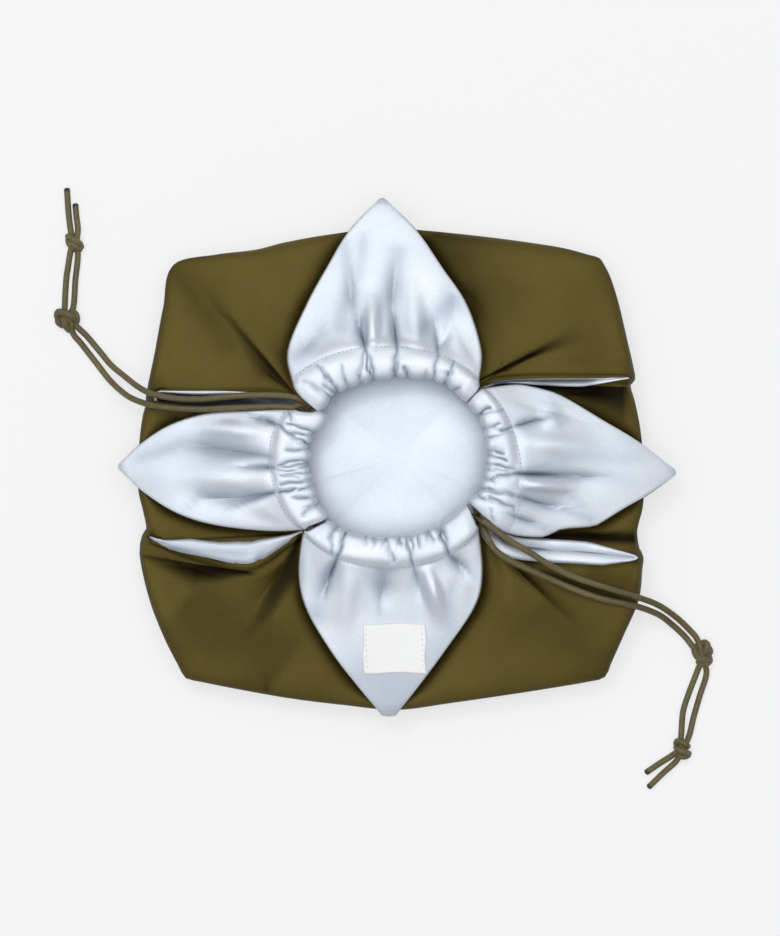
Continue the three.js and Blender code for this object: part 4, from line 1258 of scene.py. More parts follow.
@dataclass
class PouchCloth:
    """Shell and lining of the pouch, made from one shared middle surface.

    Stations are numbered by the guide points of a section. The floor, the roof and the casing noses start
    or end at the stations given here.
    """

    form: PouchForm
    walls: ClothFinish = field(default_factory=ClothFinish)
    floor_last: float = 3.0
    roof_first: float = 6.0
    roof_last: float = 10.0
    nose: float = 13.0

    def turns(self, fineness: Fineness) -> Array:
        """Place the rays round the turn.

        Args:
            fineness: How finely the cloth is sampled.

        Returns:
            The rays' places in the turn, the last one meeting the first.
        """
        tip = np.linspace(0.0, TIP_UNITS, TIP_RAYS, endpoint=False)
        slit = np.linspace(TIP_UNITS, MOUTH_FIRST, fineness.slit_rays, endpoint=False)
        mouth = np.linspace(MOUTH_FIRST, MOUTH_LAST, fineness.mouth_rays, endpoint=False)
        back = MOUTH_LAST + np.linspace(0.0, 1.0 - TIP_UNITS, fineness.slit_rays, endpoint=False)
        last = np.linspace(PANEL_UNITS - TIP_UNITS, PANEL_UNITS, TIP_RAYS, endpoint=False)
        panel = np.concatenate((tip, slit, mouth, back, last))
        return np.concatenate([panel + PANEL_UNITS * p for p in range(PANELS)] + [np.array([TURN_UNITS])])

    def swell(self, panel: int, row: Array, column: Array) -> tuple[Array, Array]:
        """Find how far the satin stands off the shell, with the gathers of the casing.

        Args:
            panel: The petal's number.
            row: Petal rows, below 0 under the nose.
            column: Petal columns.

        Returns:
            The stand-off and the painted shade in the creases of the gathers at each place.
        """
        walls = self.walls
        at, heights = zip(*CASING_SWELL)
        height = smooth_through(at, heights, np.clip(row, UNDER_ROW, TIP_ROW))
        plan = self.form.petal_plan(panel, self.form.plan_row(np.maximum(row, 0.0)), column)
        x, y = plan[..., 0], plan[..., 1]
        puff, dark = np.ones(x.shape), np.zeros(x.shape)
        wobble, pace, phase = walls.crease_wobble
        for index, crease in enumerate(CREASES[panel]):
            run, along, across = along_run(crease, x, y)
            across = across + wobble * np.sin(pace * along + phase * index)
            beyond = np.maximum(np.maximum(-along, along - run), 0.0)
            steep = across * math.sin(walls.crease_turn * index + panel) > 0.0
            reach = crease.width * np.where(steep, *walls.crease_sides)
            strength = min(1.0, walls.crease_gain * crease.depth) * np.exp(-(beyond / walls.crease_end) ** 2)
            puff = puff * (1.0 - strength * np.exp(-np.abs(across) / reach))
            # Painted shade along the core of each crease
            thin = walls.crease_dark[0] + walls.crease_dark[1] * crease.width
            dark = np.maximum(dark, strength * np.exp(-(across / thin) ** 2))
        under = ramp(row, UNDER_ROW, walls.under_rows)
        stitched = smooth_step((STITCH_ROW + walls.stitch_margin - row) / (2.0 * walls.stitch_margin))
        puffed = mix(walls.swell_cover, walls.swell_full, 1.0 - (1.0 - puff) * under)
        return np.maximum(height, 0.0) * puffed, walls.crease_shade * dark * under * stitched

    def seam(self, away: Array) -> Array:
        """Roundness of the cloth's edge, from 0 at the edge to 1 inside."""
        inside = np.clip(away / self.walls.seam_round, 0.0, 1.0)
        return np.sqrt(1.0 - (1.0 - inside) ** 2)

    def rays(self, fineness: Fineness) -> tuple[Array, Array, Array, Array]:
        """Sample the sections of the body.

        Args:
            fineness: How finely the cloth is sampled.

        Returns:
            The rays' places in the turn, the stations, their distances along each ray, and the places by
            ray, station and axis in millimetres.
        """
        turns = self.turns(fineness)
        sections = np.array([self.form.section(turn) for turn in turns])
        gaps = np.linalg.norm(np.diff(sections, axis=1), axis=2)
        at = np.concatenate((np.zeros((len(turns), 1)), np.cumsum(gaps, axis=1)), axis=1)
        guides = np.arange(len(fineness.steps) + 1)
        parts = [k + np.arange(n) / n for k, n in enumerate(fineness.steps)]
        stations = np.concatenate(parts + [guides[-1:]])
        spots = np.array([np.interp(stations, guides, run) for run in at])
        places = np.array([
            np.stack([smooth_through(run, values, spot) for values in section.T], axis=1)
            for run, section, spot in zip(at, sections, spots)
        ])
        return turns, stations[None, :], spots, places

    def hollow_shade(self, places: Array, stations: Array) -> Array:
        """Find the painted shade that darkens the satin in the hollow, with one painted light patch.

        Args:
            places: The body's surface in millimetres, by ray and station.
            stations: The stations.

        Returns:
            The share at each place.
        """
        walls = self.walls
        inner = ramp(np.hypot(places[..., 0], places[..., 1]), *walls.inner_reach)
        inner = walls.inner_shade * inner * (1.0 - ramp(stations, self.roof_last, walls.inner_steps))
        # A painted light patch lifts the painted hollow shade in the upper left slit
        glint_x, glint_y, wide, deep = walls.glint
        near = ((places[..., 0] - glint_x) / wide) ** 2 + ((places[..., 1] - glint_y) / deep) ** 2
        return inner * (1.0 - walls.glint_strength * np.exp(-near))

    def body(self, fineness: Fineness, loose: bool) -> tuple[Array, dict[str, Array]]:
        """Find the body's surface by station and ray, with the stand-offs and painted shades of both cloths.

        Args:
            fineness: How finely the surface is sampled.
            loose: Whether the roof is the inner cloth's, which hangs clear of the folds.

        Returns:
            The surface in metres, and the stand-offs and painted shades by name.
        """
        walls = self.walls
        turns, stations, spots, places = self.rays(fineness)
        units = np.mod(turns, PANEL_UNITS)
        at_mouth = (units >= MOUTH_FIRST) & (units <= MOUTH_LAST)
        closing = self.form.root_share(units)[:, None]
        base = int(np.searchsorted(stations[0], self.roof_last))
        held = places.copy()
        held[:, base:] = places[:, base : base + 1]
        x, y = held[..., 0], held[..., 1]
        roof = ramp(stations, self.roof_first - 1.0, 1.0)
        near_edge = ramp(stations, self.roof_last - 2.0, 2.0)
        rise = self.form.roof_rise(x, y)
        if loose:
            rise = rise * near_edge + self.form.roof_rise(x, y, loose) * (1.0 - near_edge)
        places[..., 2] += roof * rise * (1.0 - closing * near_edge)
        held_up = mix(walls.slit_sink, 1.0, closing) * near_edge
        sunk = roof * self.form.petal_sink(x, y) * (1.0 - held_up)
        room = np.maximum(places[..., 2] - self.form.fold_z - walls.sink_clear, 0.0)
        places[..., 2] -= np.minimum(sunk, room)
        # Painted shade where the roof sinks beside the petals
        painted_pocket_shade = walls.pocket_shade * (sunk / self.form.sink) ** walls.pocket_power
        inner = self.hollow_shade(places, stations)
        if loose:
            # Painted shade over the floor of the mouth, deeper towards the top below the gathers
            level = smooth_step((self.roof_first - 1.0 - stations) / 2.0)
            shaded = walls.floor_shade + walls.top_shadow * ramp(places[..., 1], *walls.top_shadow_y)
            inner = np.maximum(inner, level * shaded)
            out = np.hypot(places[..., 0], places[..., 1])
            raised = smooth_step((walls.slack_reach - out) / walls.slack_fall)
            places[..., 2] += level * walls.floor_slack * raised
        uneven = slack(places[..., 0], places[..., 1], walls.level_slack, walls.level_seed)
        places[..., 2] += smooth_step(self.floor_last - stations) * np.maximum(0.0, uneven)
        hang = walls.roof_hang * roof * (1.0 - ramp(stations, self.roof_last - 1.0, 1.0))
        round_off = np.where(at_mouth[:, None], 1.0, self.seam(spots[:, -1:] - spots))
        swell = np.zeros_like(round_off)
        rows = np.clip(stations - self.nose, UNDER_ROW, 0.0)
        for panel in range(PANELS):
            here = at_mouth & (np.floor(turns / PANEL_UNITS) == panel)
            columns = (units[here, None] - MOUTH_FIRST) / (MOUTH_LAST - MOUTH_FIRST)
            stand, painted_crease_shade = self.swell(panel, rows, columns)
            swell[here] = stand * self.end_close(columns)
            inner[here] = np.maximum(inner[here], painted_crease_shade)
            away = np.minimum(columns, 1.0 - columns) * self.row_width(panel, np.zeros(1)) + walls.nose_round
            rounded = self.seam(away + walls.under_length * np.abs(rows))
            round_off[here] = np.where(rows > UNDER_ROW, rounded, 1.0)
        shades = {"shell_shade": painted_pocket_shade.T, "satin_shade": inner.T}
        return places.transpose(1, 0, 2) * MM, self.stands(round_off.T, (swell + hang).T) | shades

    def end_close(self, columns: Array) -> Array:
        """How far the satin closes on the shell at the two ends of a casing."""
        inside = smooth_step(np.minimum(columns, 1.0 - columns) / self.walls.end_columns)
        return mix(self.walls.end_hold, 1.0, inside)

    def row_width(self, panel: int, row: Array) -> Array:
        """Measure a petal's rows from edge to edge.

        Args:
            panel: The petal's number.
            row: The rows.

        Returns:
            The length of each row.
        """
        start = self.form.petal_plan(panel, row, np.zeros_like(row))
        end = self.form.petal_plan(panel, row, np.ones_like(row))
        return np.linalg.norm(end - start, axis=-1)

    def stands(self, round_off: Array, swell: Array) -> dict[str, Array]:
        """Find the distances of the two visible sides from the middle surface.

        Args:
            round_off: Roundness of the edge at each place.
            swell: How far the satin stands off besides.

        Returns:
            The distances in metres, by name.
        """
        shell = mix(self.walls.seam_stand, self.walls.shell_stand, round_off)
        satin = mix(self.walls.seam_stand, self.walls.satin_stand, round_off)
        return {"shell_stand": shell * MM, "satin_stand": (satin + swell) * MM}

    def petal(self, panel: int, fineness: Fineness, loose: bool) -> tuple[Array, dict[str, Array]]:
        """Find a petal's surface by row and column, with the stand-offs and painted shades of both cloths.

        Args:
            panel: The petal's number.
            fineness: How finely the surface is sampled.
            loose: Whether this is the inner cloth, which the shell's edge overlaps.

        Returns:
            The surface in metres, and the stand-offs and painted shades by name.
        """
        walls = self.walls
        outer = np.linspace(0.0, 1.0, fineness.petal_rows + 1) ** walls.row_crowding
        rows = np.concatenate((
            np.linspace(0.0, STITCH_ROW, fineness.casing_rows, endpoint=False),
            mix(STITCH_ROW, TIP_ROW, outer),
        ))[:, None]
        columns = np.linspace(0.0, 1.0, fineness.mouth_rays + 1)[None, :]
        width = self.row_width(panel, rows[:, 0])[:, None]
        grow = 0.0 if loose else 2.0 * walls.edge_margin / width * ramp(rows, *walls.edge_rows)
        places = self.form.petal(panel, rows, 0.5 + (columns - 0.5) * (1.0 + grow))
        away = np.minimum(np.minimum(columns, 1.0 - columns) * width, (TIP_ROW - rows) * walls.tip_length)
        round_off = self.seam(away + walls.nose_round * smooth_step(1.0 - rows))
        swell, painted_crease_shade = self.swell(panel, rows, columns)
        closed = np.where(rows > walls.swell_row, self.seam(away * walls.swell_round), 1.0)
        shades = {"shell_shade": np.zeros_like(painted_crease_shade), "satin_shade": painted_crease_shade}
        return places * MM, self.stands(round_off, swell * self.end_close(columns) * closed) | shades

    def middle(self, fineness: Fineness, loose: bool) -> Object:
        """Model the middle surface as one merged mesh.

        Args:
            fineness: How finely the surface is sampled.
            loose: Whether it is the inner cloth's.

        Returns:
            The surface, which keeps the stand-offs and painted shades of both cloths.
        """
        things = [mapped_grid("cloth_body", *self.body(fineness, loose))]
        for panel in range(PANELS):
            things.append(mapped_grid(f"cloth_petal_{panel}", *self.petal(panel, fineness, loose)))
        return join_and_merge(things, "cloth_middle", CLOTH_MERGE_REACH)

    def broad_shade(self, side: float, places: Array, upright: Array) -> Array:
        """Find the painted shade that broad folds and the steep rim put on one cloth.

        Args:
            side: 1 for the shell, -1 for the satin.
            places: The cloth's places in millimetres.
            upright: How far each place faces up or down, from 0 to 1.

        Returns:
            The share at each place.
        """
        walls = self.walls
        x, y, z = places.T
        if side > 0.0:
            # Painted shade on the shell's steep outer rim
            start, over = walls.rim_steep
            rim = walls.rim_shade * smooth_step((start - upright) / over)
            rim = rim * ramp(self.form.ratio(x, y), *walls.rim_ratio)
            return np.maximum(fold_shade(ROOF_PAINTED_SHADE, x, y) * ramp(z, *walls.tone_z), rim)
        # Painted fold shadows on the satin, kept off the floor of the hollow
        seen = np.maximum(ramp(z, *walls.satin_high), ramp(np.hypot(x, y), *walls.satin_out))
        return fold_shade(SATIN_SHADOWS, x, y) * seen * ramp(z, *walls.satin_low)

    def cloth(self, name: str, fineness: Fineness, side: float) -> Object:
        """Model one cloth on one side of the middle surface.

        Args:
            name: The new piece's name.
            fineness: How finely the middle surface is sampled for it.
            side: 1 for the shell's side, -1 for the satin's.

        Returns:
            The new piece, a closed wall.
        """
        thing = self.middle(fineness, loose=side < 0.0)
        own, other = ("shell", "satin") if side > 0.0 else ("satin", "shell")
        rename(thing, name)
        mesh = thing.data
        count = len(mesh.vertices)
        normals = np.empty(count * 3)
        mesh.vertices.foreach_get("normal", normals)
        normals = normals.reshape(-1, 3)
        stand, painted_shade_and_seal = np.empty(count), np.empty(count)
        mesh.attributes[f"{own}_stand"].data.foreach_get("value", stand)
        mesh.attributes[f"{own}_shade"].data.foreach_get("value", painted_shade_and_seal)
        place_vertices(mesh, coordinates(mesh) + side * normals * stand[:, None])
        # Broad painted shade, joined below with the painted shade of the body and petals
        broad = self.broad_shade(side, coordinates(mesh) / MM, np.abs(normals[:, 2]))
        for label in (f"{own}_stand", f"{other}_stand", f"{other}_shade"):
            mesh.attributes.remove(mesh.attributes[label])
        shade = mesh.attributes[f"{own}_shade"]
        shade.data.foreach_set("value", np.maximum(painted_shade_and_seal, broad).astype(np.float32))
        shade.name = "shade"
        group = thing.vertex_groups.new(name="wall")
        share = np.clip((stand / MM - self.walls.wall_base) / self.walls.wall, self.walls.wall_least, 1.0)
        group.add(np.nonzero(share >= 1.0)[0].tolist(), 1.0, "REPLACE")
        for index in np.nonzero(share < 1.0)[0]:
            group.add([int(index)], float(share[index]), "REPLACE")
        thicken(thing, self.walls.wall * MM, -side, group.name, self.walls.wall_floor)
        return thing

    def build(self, olive: Material, satin: Material) -> dict[str, Object]:
        """Model and dress the shell and the lining.

        Args:
            olive: The shell's finish.
            satin: The lining's finish.

        Returns:
            The two pieces by name.
        """
        shell = self.cloth("pouch_shell", SHELL_FINENESS, 1.0)
        lining = self.cloth("pouch_lining", SATIN_FINENESS, -1.0)
        dress(shell, olive)
        dress(lining, satin)
        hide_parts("shell")
        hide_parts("lining")
        return {"shell": shell, "lining": lining}


class Strand(NamedTuple):
    """One end of a cord from its casing through both knots to its tip, in metres."""

    name: str
    route: tuple[Triple, ...]


class Wrap(NamedTuple):
    """One turn of the doubled cord over a knot: its radius and its points from the foot, in millimetres."""

    radius: float
    points: tuple[Triple, ...]


class Knot(NamedTuple):
    """A knot's place from above in metres, the half sizes of its core in millimetres, and its turns."""

    x: float
    y: float
    core: Triple
    wraps: tuple[Wrap, ...]


STRANDS = {
    "cord_left": (
        Strand("upper", (
            (-0.0402, 0.0238, 0.0292), (-0.0446, 0.0246, 0.0284), (-0.0504, 0.0249, 0.0274),
            (-0.0592, 0.0248, 0.0266), (-0.0688, 0.0241, 0.0254), (-0.0786, 0.0233, 0.0240),
            (-0.0882, 0.0236, 0.0224), (-0.0980, 0.0255, 0.0196), (-0.1036, 0.0283, 0.0154),
            (-0.1092, 0.0326, 0.0098), (-0.1148, 0.0372, 0.0046), (-0.1192, 0.0424, 0.0024),
            (-0.1246, 0.0488, 0.0020), (-0.1278, 0.0519, 0.0022), (-0.1330, 0.0575, 0.0030),
            (-0.1334, 0.0624, 0.0017), (-0.1329, 0.0716, 0.0014), (-0.1322, 0.0766, 0.0014),
            (-0.1314, 0.0817, 0.0017), (-0.1304, 0.0868, 0.0028), (-0.1312, 0.0918, 0.0016),
            (-0.1320, 0.0985, 0.0014), (-0.1326, 0.1076, 0.0014),
        )),
        Strand("lower", (
            (-0.0416, 0.0198, 0.0288), (-0.0458, 0.0203, 0.0280), (-0.0504, 0.0203, 0.0270),
            (-0.0592, 0.0201, 0.0259), (-0.0688, 0.0197, 0.0248), (-0.0786, 0.0193, 0.0232),
            (-0.0882, 0.0197, 0.0216), (-0.0980, 0.0209, 0.0184), (-0.1060, 0.0236, 0.0130),
            (-0.1110, 0.0270, 0.0082), (-0.1156, 0.0314, 0.0042), (-0.1208, 0.0380, 0.0019),
            (-0.1272, 0.0462, 0.0017), (-0.1302, 0.0500, 0.0020), (-0.1308, 0.0562, 0.0034),
            (-0.1298, 0.0620, 0.0017), (-0.1292, 0.0716, 0.0014), (-0.1286, 0.0766, 0.0014),
            (-0.1282, 0.0817, 0.0017), (-0.1286, 0.0868, 0.0032), (-0.1282, 0.0918, 0.0016),
            (-0.1288, 0.0968, 0.0014), (-0.1292, 0.1014, 0.0014),
        )),
    ),
    "cord_right": (
        Strand("upper", (
            (0.0400, -0.0296, 0.0308), (0.0456, -0.0336, 0.0294), (0.0538, -0.0384, 0.0276),
            (0.0609, -0.0429, 0.0262), (0.0686, -0.0468, 0.0244), (0.0762, -0.0496, 0.0222),
            (0.0864, -0.0528, 0.0190), (0.0966, -0.0560, 0.0148), (0.1048, -0.0592, 0.0090),
            (0.1122, -0.0642, 0.0038), (0.1179, -0.0696, 0.0021), (0.1206, -0.0730, 0.0022),
            (0.1226, -0.0796, 0.0036), (0.1206, -0.0860, 0.0017), (0.1174, -0.0944, 0.0014),
            (0.1150, -0.1020, 0.0014), (0.1142, -0.1114, 0.0017), (0.1136, -0.1168, 0.0032),
            (0.1104, -0.1198, 0.0016), (0.1060, -0.1226, 0.0014), (0.1004, -0.1264, 0.0014),
        )),
        Strand("lower", (
            (0.0356, -0.0308, 0.0300), (0.0384, -0.0360, 0.0296), (0.0430, -0.0399, 0.0286),
            (0.0510, -0.0440, 0.0262), (0.0609, -0.0484, 0.0236), (0.0711, -0.0527, 0.0212),
            (0.0813, -0.0563, 0.0190), (0.0906, -0.0584, 0.0166), (0.0983, -0.0603, 0.0124),
            (0.1056, -0.0634, 0.0072), (0.1106, -0.0672, 0.0036), (0.1152, -0.0714, 0.0020),
            (0.1178, -0.0746, 0.0021), (0.1218, -0.0802, 0.0036), (0.1244, -0.0862, 0.0017),
            (0.1216, -0.0960, 0.0014), (0.1192, -0.1044, 0.0014), (0.1174, -0.1118, 0.0017),
            (0.1150, -0.1168, 0.0034), (0.1122, -0.1220, 0.0016), (0.1074, -0.1264, 0.0014),
            (0.1014, -0.1322, 0.0014),
        )),
    ),
}

# From the first strand's start into the casings, and out of them to the second strand's start
CORD_ROOTS = {
    "cord_left": (
        ((-0.0402, 0.0238, 0.0292), (-0.0384, 0.0229, 0.0285), (-0.0364, 0.0217, 0.0272),
         (-0.0346, 0.0204, 0.0264)),
        ((-0.0354, 0.0197, 0.0258), (-0.0376, 0.0208, 0.0268), (-0.0396, 0.0206, 0.0281),
         (-0.0416, 0.0198, 0.0288)),
    ),
    "cord_right": (
        ((0.0356, -0.0308, 0.0300), (0.0346, -0.0288, 0.0286), (0.0334, -0.0267, 0.0266),
         (0.0316, -0.0240, 0.0254)),
        ((0.0304, -0.0226, 0.0266), (0.0320, -0.0244, 0.0298), (0.0348, -0.0258, 0.0316),
         (0.0376, -0.0276, 0.0314), (0.0400, -0.0296, 0.0308)),
    ),
}

KNOTS = {
    "cord_left": (
        Knot(-0.1326, 0.0556, (3.2, 3, 2.4), (
            Wrap(1.5, ((-3.9, 1.2, 1.7), (-3.3, 2.8, 3.2), (-0.4, 2.2, 4.7), (2.2, 0.8, 4.6),
                       (3.6, -0.6, 2.6))),
            Wrap(1.3, ((1.6, 3.3, 2), (3.6, 2, 3.4), (4.1, -0.3, 3.2), (3.1, -2.2, 1.6))),
            Wrap(1.25, ((-3.8, 0.2, 1.6), (-3.4, -1.4, 2.8), (-1.8, -2.6, 1.8))),
            Wrap(1.5, ((-1.2, 0.2, 3.6), (-0.8, -1.8, 4), (0.2, -3.5, 3.2), (0.9, -4.2, 1.7))),
        )),
        Knot(-0.1297, 0.0864, (2, 2.2, 2), (
            Wrap(1.3, ((-2.5, 2.5, 1.8), (-1.6, 2.2, 3.4), (0.5, 0.7, 4.4), (2.2, -0.4, 3.6),
                       (2.8, -1.8, 1.8))),
            Wrap(1.2, ((-2.5, 1.2, 1.6), (-2, -0.6, 3), (-0.6, -2.2, 2.6), (0.3, -2.9, 1.5))),
            Wrap(1.3, ((-1, -0.4, 3.6), (0.9, -1.7, 3.8), (2.2, -2.9, 2))),
        )),
    ),
    "cord_right": (
        Knot(0.1226, -0.0786, (2.4, 3.2, 2.4), (
            Wrap(1.4, ((-0.4, 3.2, 2.6), (0.8, 4.3, 3.4), (2, 3.4, 4.4), (1.6, 1.4, 4.8),
                       (0.2, -0.2, 3.6))),
            Wrap(1.3, ((2.6, 2.2, 2.4), (3.2, 0.8, 3.4), (2.4, -0.8, 2.8))),
            Wrap(1.5, ((-2.6, 2.7, 2), (-3, 1, 3.2), (-1.8, -1.4, 4.2), (0.7, -2.4, 4.4),
                       (3, -2.2, 2.4))),
            Wrap(1.3, ((-1.6, -3.2, 2.2), (0.3, -4.2, 3), (2.2, -4, 2.8), (3.2, -2.8, 1.8))),
        )),
        Knot(0.1146, -0.1170, (2, 2.4, 2), (
            Wrap(1.3, ((-2.4, 2, 1.6), (-1.9, 3.1, 3), (0.8, 2.4, 4.4), (2.2, 0.9, 3.2))),
            Wrap(1.35, ((-2.4, 0.6, 2), (-1.2, -0.2, 4.2), (1, -1.2, 4.4), (2.6, -2, 2))),
            Wrap(1.2, ((-1.8, -2.2, 1.8), (-0.7, -3, 3), (1, -3.2, 3), (2.5, -2.6, 2))),
        )),
    ),
}


@dataclass
class DrawCord:
    """One cord: its run in the casings, its two free strands and its two knots."""

    name: str
    first_panel: int
    casing_row: float
    diameter: float = 0.0025
    sides: int = 12
    step: float = 0.0011
    hidden_depth: float = 0.15
    hidden_share: float = 0.45
    slit_sag: float = 6.0
    end_row: float = 0.7
    end_columns: float = 0.25
    column_margin: float = 0.05
    column_count: int = 18
    row_step: float = 0.1
    press_run: Pair = (0.006, 0.006)
    core_z: float = 2.7
    core_sides: int = 16
    core_rings: int = 10
    # How dark the sealed tips are in their own colour
    sealed_tip_dark: float = 0.9

    def casing_run(self, form: PouchForm) -> Array:
        """Find the centre line of the stretch that the casings hold.

        Args:
            form: The cloth that holds the cord.

        Returns:
            The line in metres.
        """
        points = []
        for step in range(PANELS):
            panel = (self.first_panel + step) % PANELS
            columns = np.linspace(self.column_margin, 1.0 - self.column_margin, self.column_count)
            inside = smooth_step(np.minimum(columns, 1.0 - columns) / self.end_columns)
            rows = mix(self.end_row, self.casing_row, inside)
            places = form.petal(panel, rows, columns)
            ahead = form.petal(panel, rows + self.row_step, columns)
            normal = np.cross(ahead - places, np.gradient(places, axis=0))
            normal /= np.linalg.norm(normal, axis=1)[:, None]
            held = places - normal * self.hidden_depth
            if points:
                between = (points[-1] + held[0]) / 2.0
                points.append(between - np.array((0.0, 0.0, self.slit_sag)))
            points.extend(held)
        lead, tail = (np.array(way) for way in CORD_ROOTS[self.name])
        return curve_through(np.vstack((lead, np.array(points) * MM, tail)), self.step)

    def hidden_radius(self, path: Array) -> Array:
        """Find the radius along the casing run.

        Args:
            path: The run's centre line.

        Returns:
            The radius, full at both ends and pressed thin in the casings.
        """
        run = distances(path)
        inside = ramp(np.minimum(run, run[-1] - run), *self.press_run)
        return self.diameter / 2 * mix(1.0, self.hidden_share, inside)

    def knot(self, name: str, knot: Knot) -> Object:
        """Model one tied lump of the two strands.

        Args:
            name: The new piece's name.
            knot: The knot's place and turns.

        Returns:
            The lump.
        """
        foot = np.array((knot.x, knot.y, 0.0))
        bpy.ops.object.select_all(action="DESELECT")
        bpy.ops.mesh.primitive_uv_sphere_add(segments=self.core_sides, ring_count=self.core_rings, radius=1.0)
        core = bpy.context.active_object
        lump = coordinates(core.data) * knot.core + np.array((0.0, 0.0, self.core_z))
        place_vertices(core.data, foot + lump * MM)
        parts = [core]
        for index, wrap in enumerate(knot.wraps):
            path = curve_through(np.array(wrap.points) * MM + foot, self.step / 2)
            parts.append(tube(f"{name}_{index}", path, wrap.radius * MM, self.sides))
        return join_and_merge(parts, name, MERGE_REACH)

    def build(self, form: PouchForm, finish: Material) -> list[Object]:
        """Args:
            form: The cloth that holds the cord.
            finish: The cord's finish.

        Returns:
            All its pieces.
        """
        run = self.casing_run(form)
        hidden = tube(f"{self.name}_in_casing", run, self.hidden_radius(run), self.sides)
        dress(hidden, finish)
        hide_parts(f"{self.name}_casing_run")
        knots = []
        for index, knot in enumerate(KNOTS[self.name]):
            lump = self.knot(f"{self.name}_tied_{index + 1}", knot)
            dress(lump, finish)
            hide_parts(f"{self.name}_knot_{index + 1}")
            knots.append(lump)
        strands = []
        for index, strand in enumerate(STRANDS[self.name]):
            path = curve_through(strand.route, self.step)
            name = f"{self.name}_{strand.name}"
            thing = tube(f"{name}_strand", path, self.diameter / 2, self.sides, self.sealed_tip_dark)
            dress(thing, finish)
            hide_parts(*(f"{name}_{part}" for part in ("free", "between", "tail")))
            strands.append(thing)
        return [hidden, *knots, *strands]


@dataclass
class WovenLabel:
    """The plain label on the lower petal, sewn along its two sides."""

    centre_x: float = -1.0
    centre_y: float = -76.2
    width: float = 24.8
    height: float = 19.6
    wall: float = 0.5
    gap: float = 0.25
    columns: int = 40
    rows: int = 32
    side_wave: Pair = (0.25, 9.0)
    end_wave: Triple = (0.3, 7.0, 1.0)
    seams: tuple[Numbers, ...] = ((-12.3, -67.6, -11.9, -84.6), (9.9, -67.2, 10.4, -84.2))
    seam_spots: int = 14

    def build(self, lining: Object, finish: Material) -> Object:
        """Model the label on the lining under it, and dress it.

        Args:
            lining: The cloth that carries the label.
            finish: The label's finish.

        Returns:
            The label.
        """
        across = np.linspace(-0.5, 0.5, self.columns + 1)[:, None]
        down = np.linspace(-0.5, 0.5, self.rows + 1)[None, :]
        size, pace = self.side_wave
        x = self.centre_x + self.width * across + size * np.sin(pace * down) * np.abs(2 * across)
        size, pace, phase = self.end_wave
        y = self.centre_y + self.height * down + size * np.sin(pace * across + phase) * np.abs(2 * down)
        x, y = np.broadcast_arrays(x, y)
        under = np.array([self.top(lining, px, py) for px, py in zip(x.ravel(), y.ravel())]).reshape(x.shape)
        terms = np.stack([np.ones_like(x), x, y, x * x, x * y, y * y], axis=-1).reshape(-1, 6)
        fit = np.linalg.lstsq(terms, under.ravel(), rcond=None)[0]
        stiff = (terms @ fit).reshape(x.shape)
        z = np.maximum(under + self.gap, 0.5 * (stiff + under) + self.gap)
        thing = mapped_grid("woven_label", np.stack((x, y, z), axis=-1) * MM)
        thicken(thing, self.wall * MM, 1.0)
        dress(thing, finish)
        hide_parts("label")
        return thing

    def top(self, lining: Object, x: float, y: float) -> float:
        """Height of the lining's upper side, in millimetres."""
        place = cast_down(lining, x * MM, y * MM)
        return place[2] / MM if place else 0.0

    def seam_lines(self, label: Object) -> list[Array]:
        """Find the centre lines of the stitches down both sides of the label.

        Args:
            label: The label.

        Returns:
            The lines in metres.
        """
        shares = np.linspace(0.0, 1.0, self.seam_spots)[:, None]
        ends = np.array(self.seams).reshape(-1, 2, 2)
        return [draped(label, mix(start, end, shares) * MM) for start, end in ends]


@dataclass
class Stitching:
    """Rows of thread stitches that lie on a cloth."""

    pitch: float = 1.75
    length: float = 1.3
    width: float = 0.42
    sink: float = 0.05
    sides: int = 8
    rings: int = 6
    row_margin: float = 0.015
    row_spots: int = 70

    def casing_lines(self, form: PouchForm, lining: Object) -> list[Array]:
        """Find the centre lines of the casing stitches.

        Args:
            form: The cloth's form.
            lining: The cloth that carries them.

        Returns:
            The lines in metres.
        """
        columns = np.linspace(self.row_margin, 1.0 - self.row_margin, self.row_spots)
        rows = np.full_like(columns, STITCH_ROW)
        return [draped(lining, form.petal(panel, rows, columns)[:, :2] * MM) for panel in range(PANELS)]

    def rows(self, name: str, lines: list[Array], finish: Material, slot: str) -> Object:
        """Model stitches along lines and dress them.

        Args:
            name: The new piece's name.
            lines: Centre lines in metres.
            finish: The thread's finish.
            slot: Not used.

        Returns:
            The stitches as one piece.
        """
        bpy.ops.object.select_all(action="DESELECT")
        bpy.ops.mesh.primitive_uv_sphere_add(segments=self.sides, ring_count=self.rings, radius=0.5)
        thing = bpy.context.active_object
        rename(thing, name)
        ball = coordinates(thing.data)
        faces = [tuple(polygon.vertices) for polygon in thing.data.polygons]
        ball = ball[:, [2, 0, 1]] * np.array((self.length, self.width, self.width)) * MM
        points, joined = [], []
        for line in lines:
            spots = curve_through(line, self.pitch * MM)
            for start, end in zip(spots[:-1], spots[1:]):
                run = (end - start) / np.linalg.norm(end - start)
                side = np.cross((0.0, 0.0, 1.0), run)
                side /= np.linalg.norm(side)
                up = np.cross(run, side)
                turned = ball @ np.stack((run, side, up)) + (start + end) / 2 - up * self.sink * MM
                first = len(points) * len(ball)
                points.append(turned)
                joined.extend(tuple(first + v for v in face) for face in faces)
        mesh = bpy.data.meshes.new(name)
        mesh.from_pydata(np.concatenate(points).tolist(), [], joined)
        thing.data = mesh
        activate(thing)
        bpy.ops.object.shade_smooth()
        dress(thing, finish)
        return thing


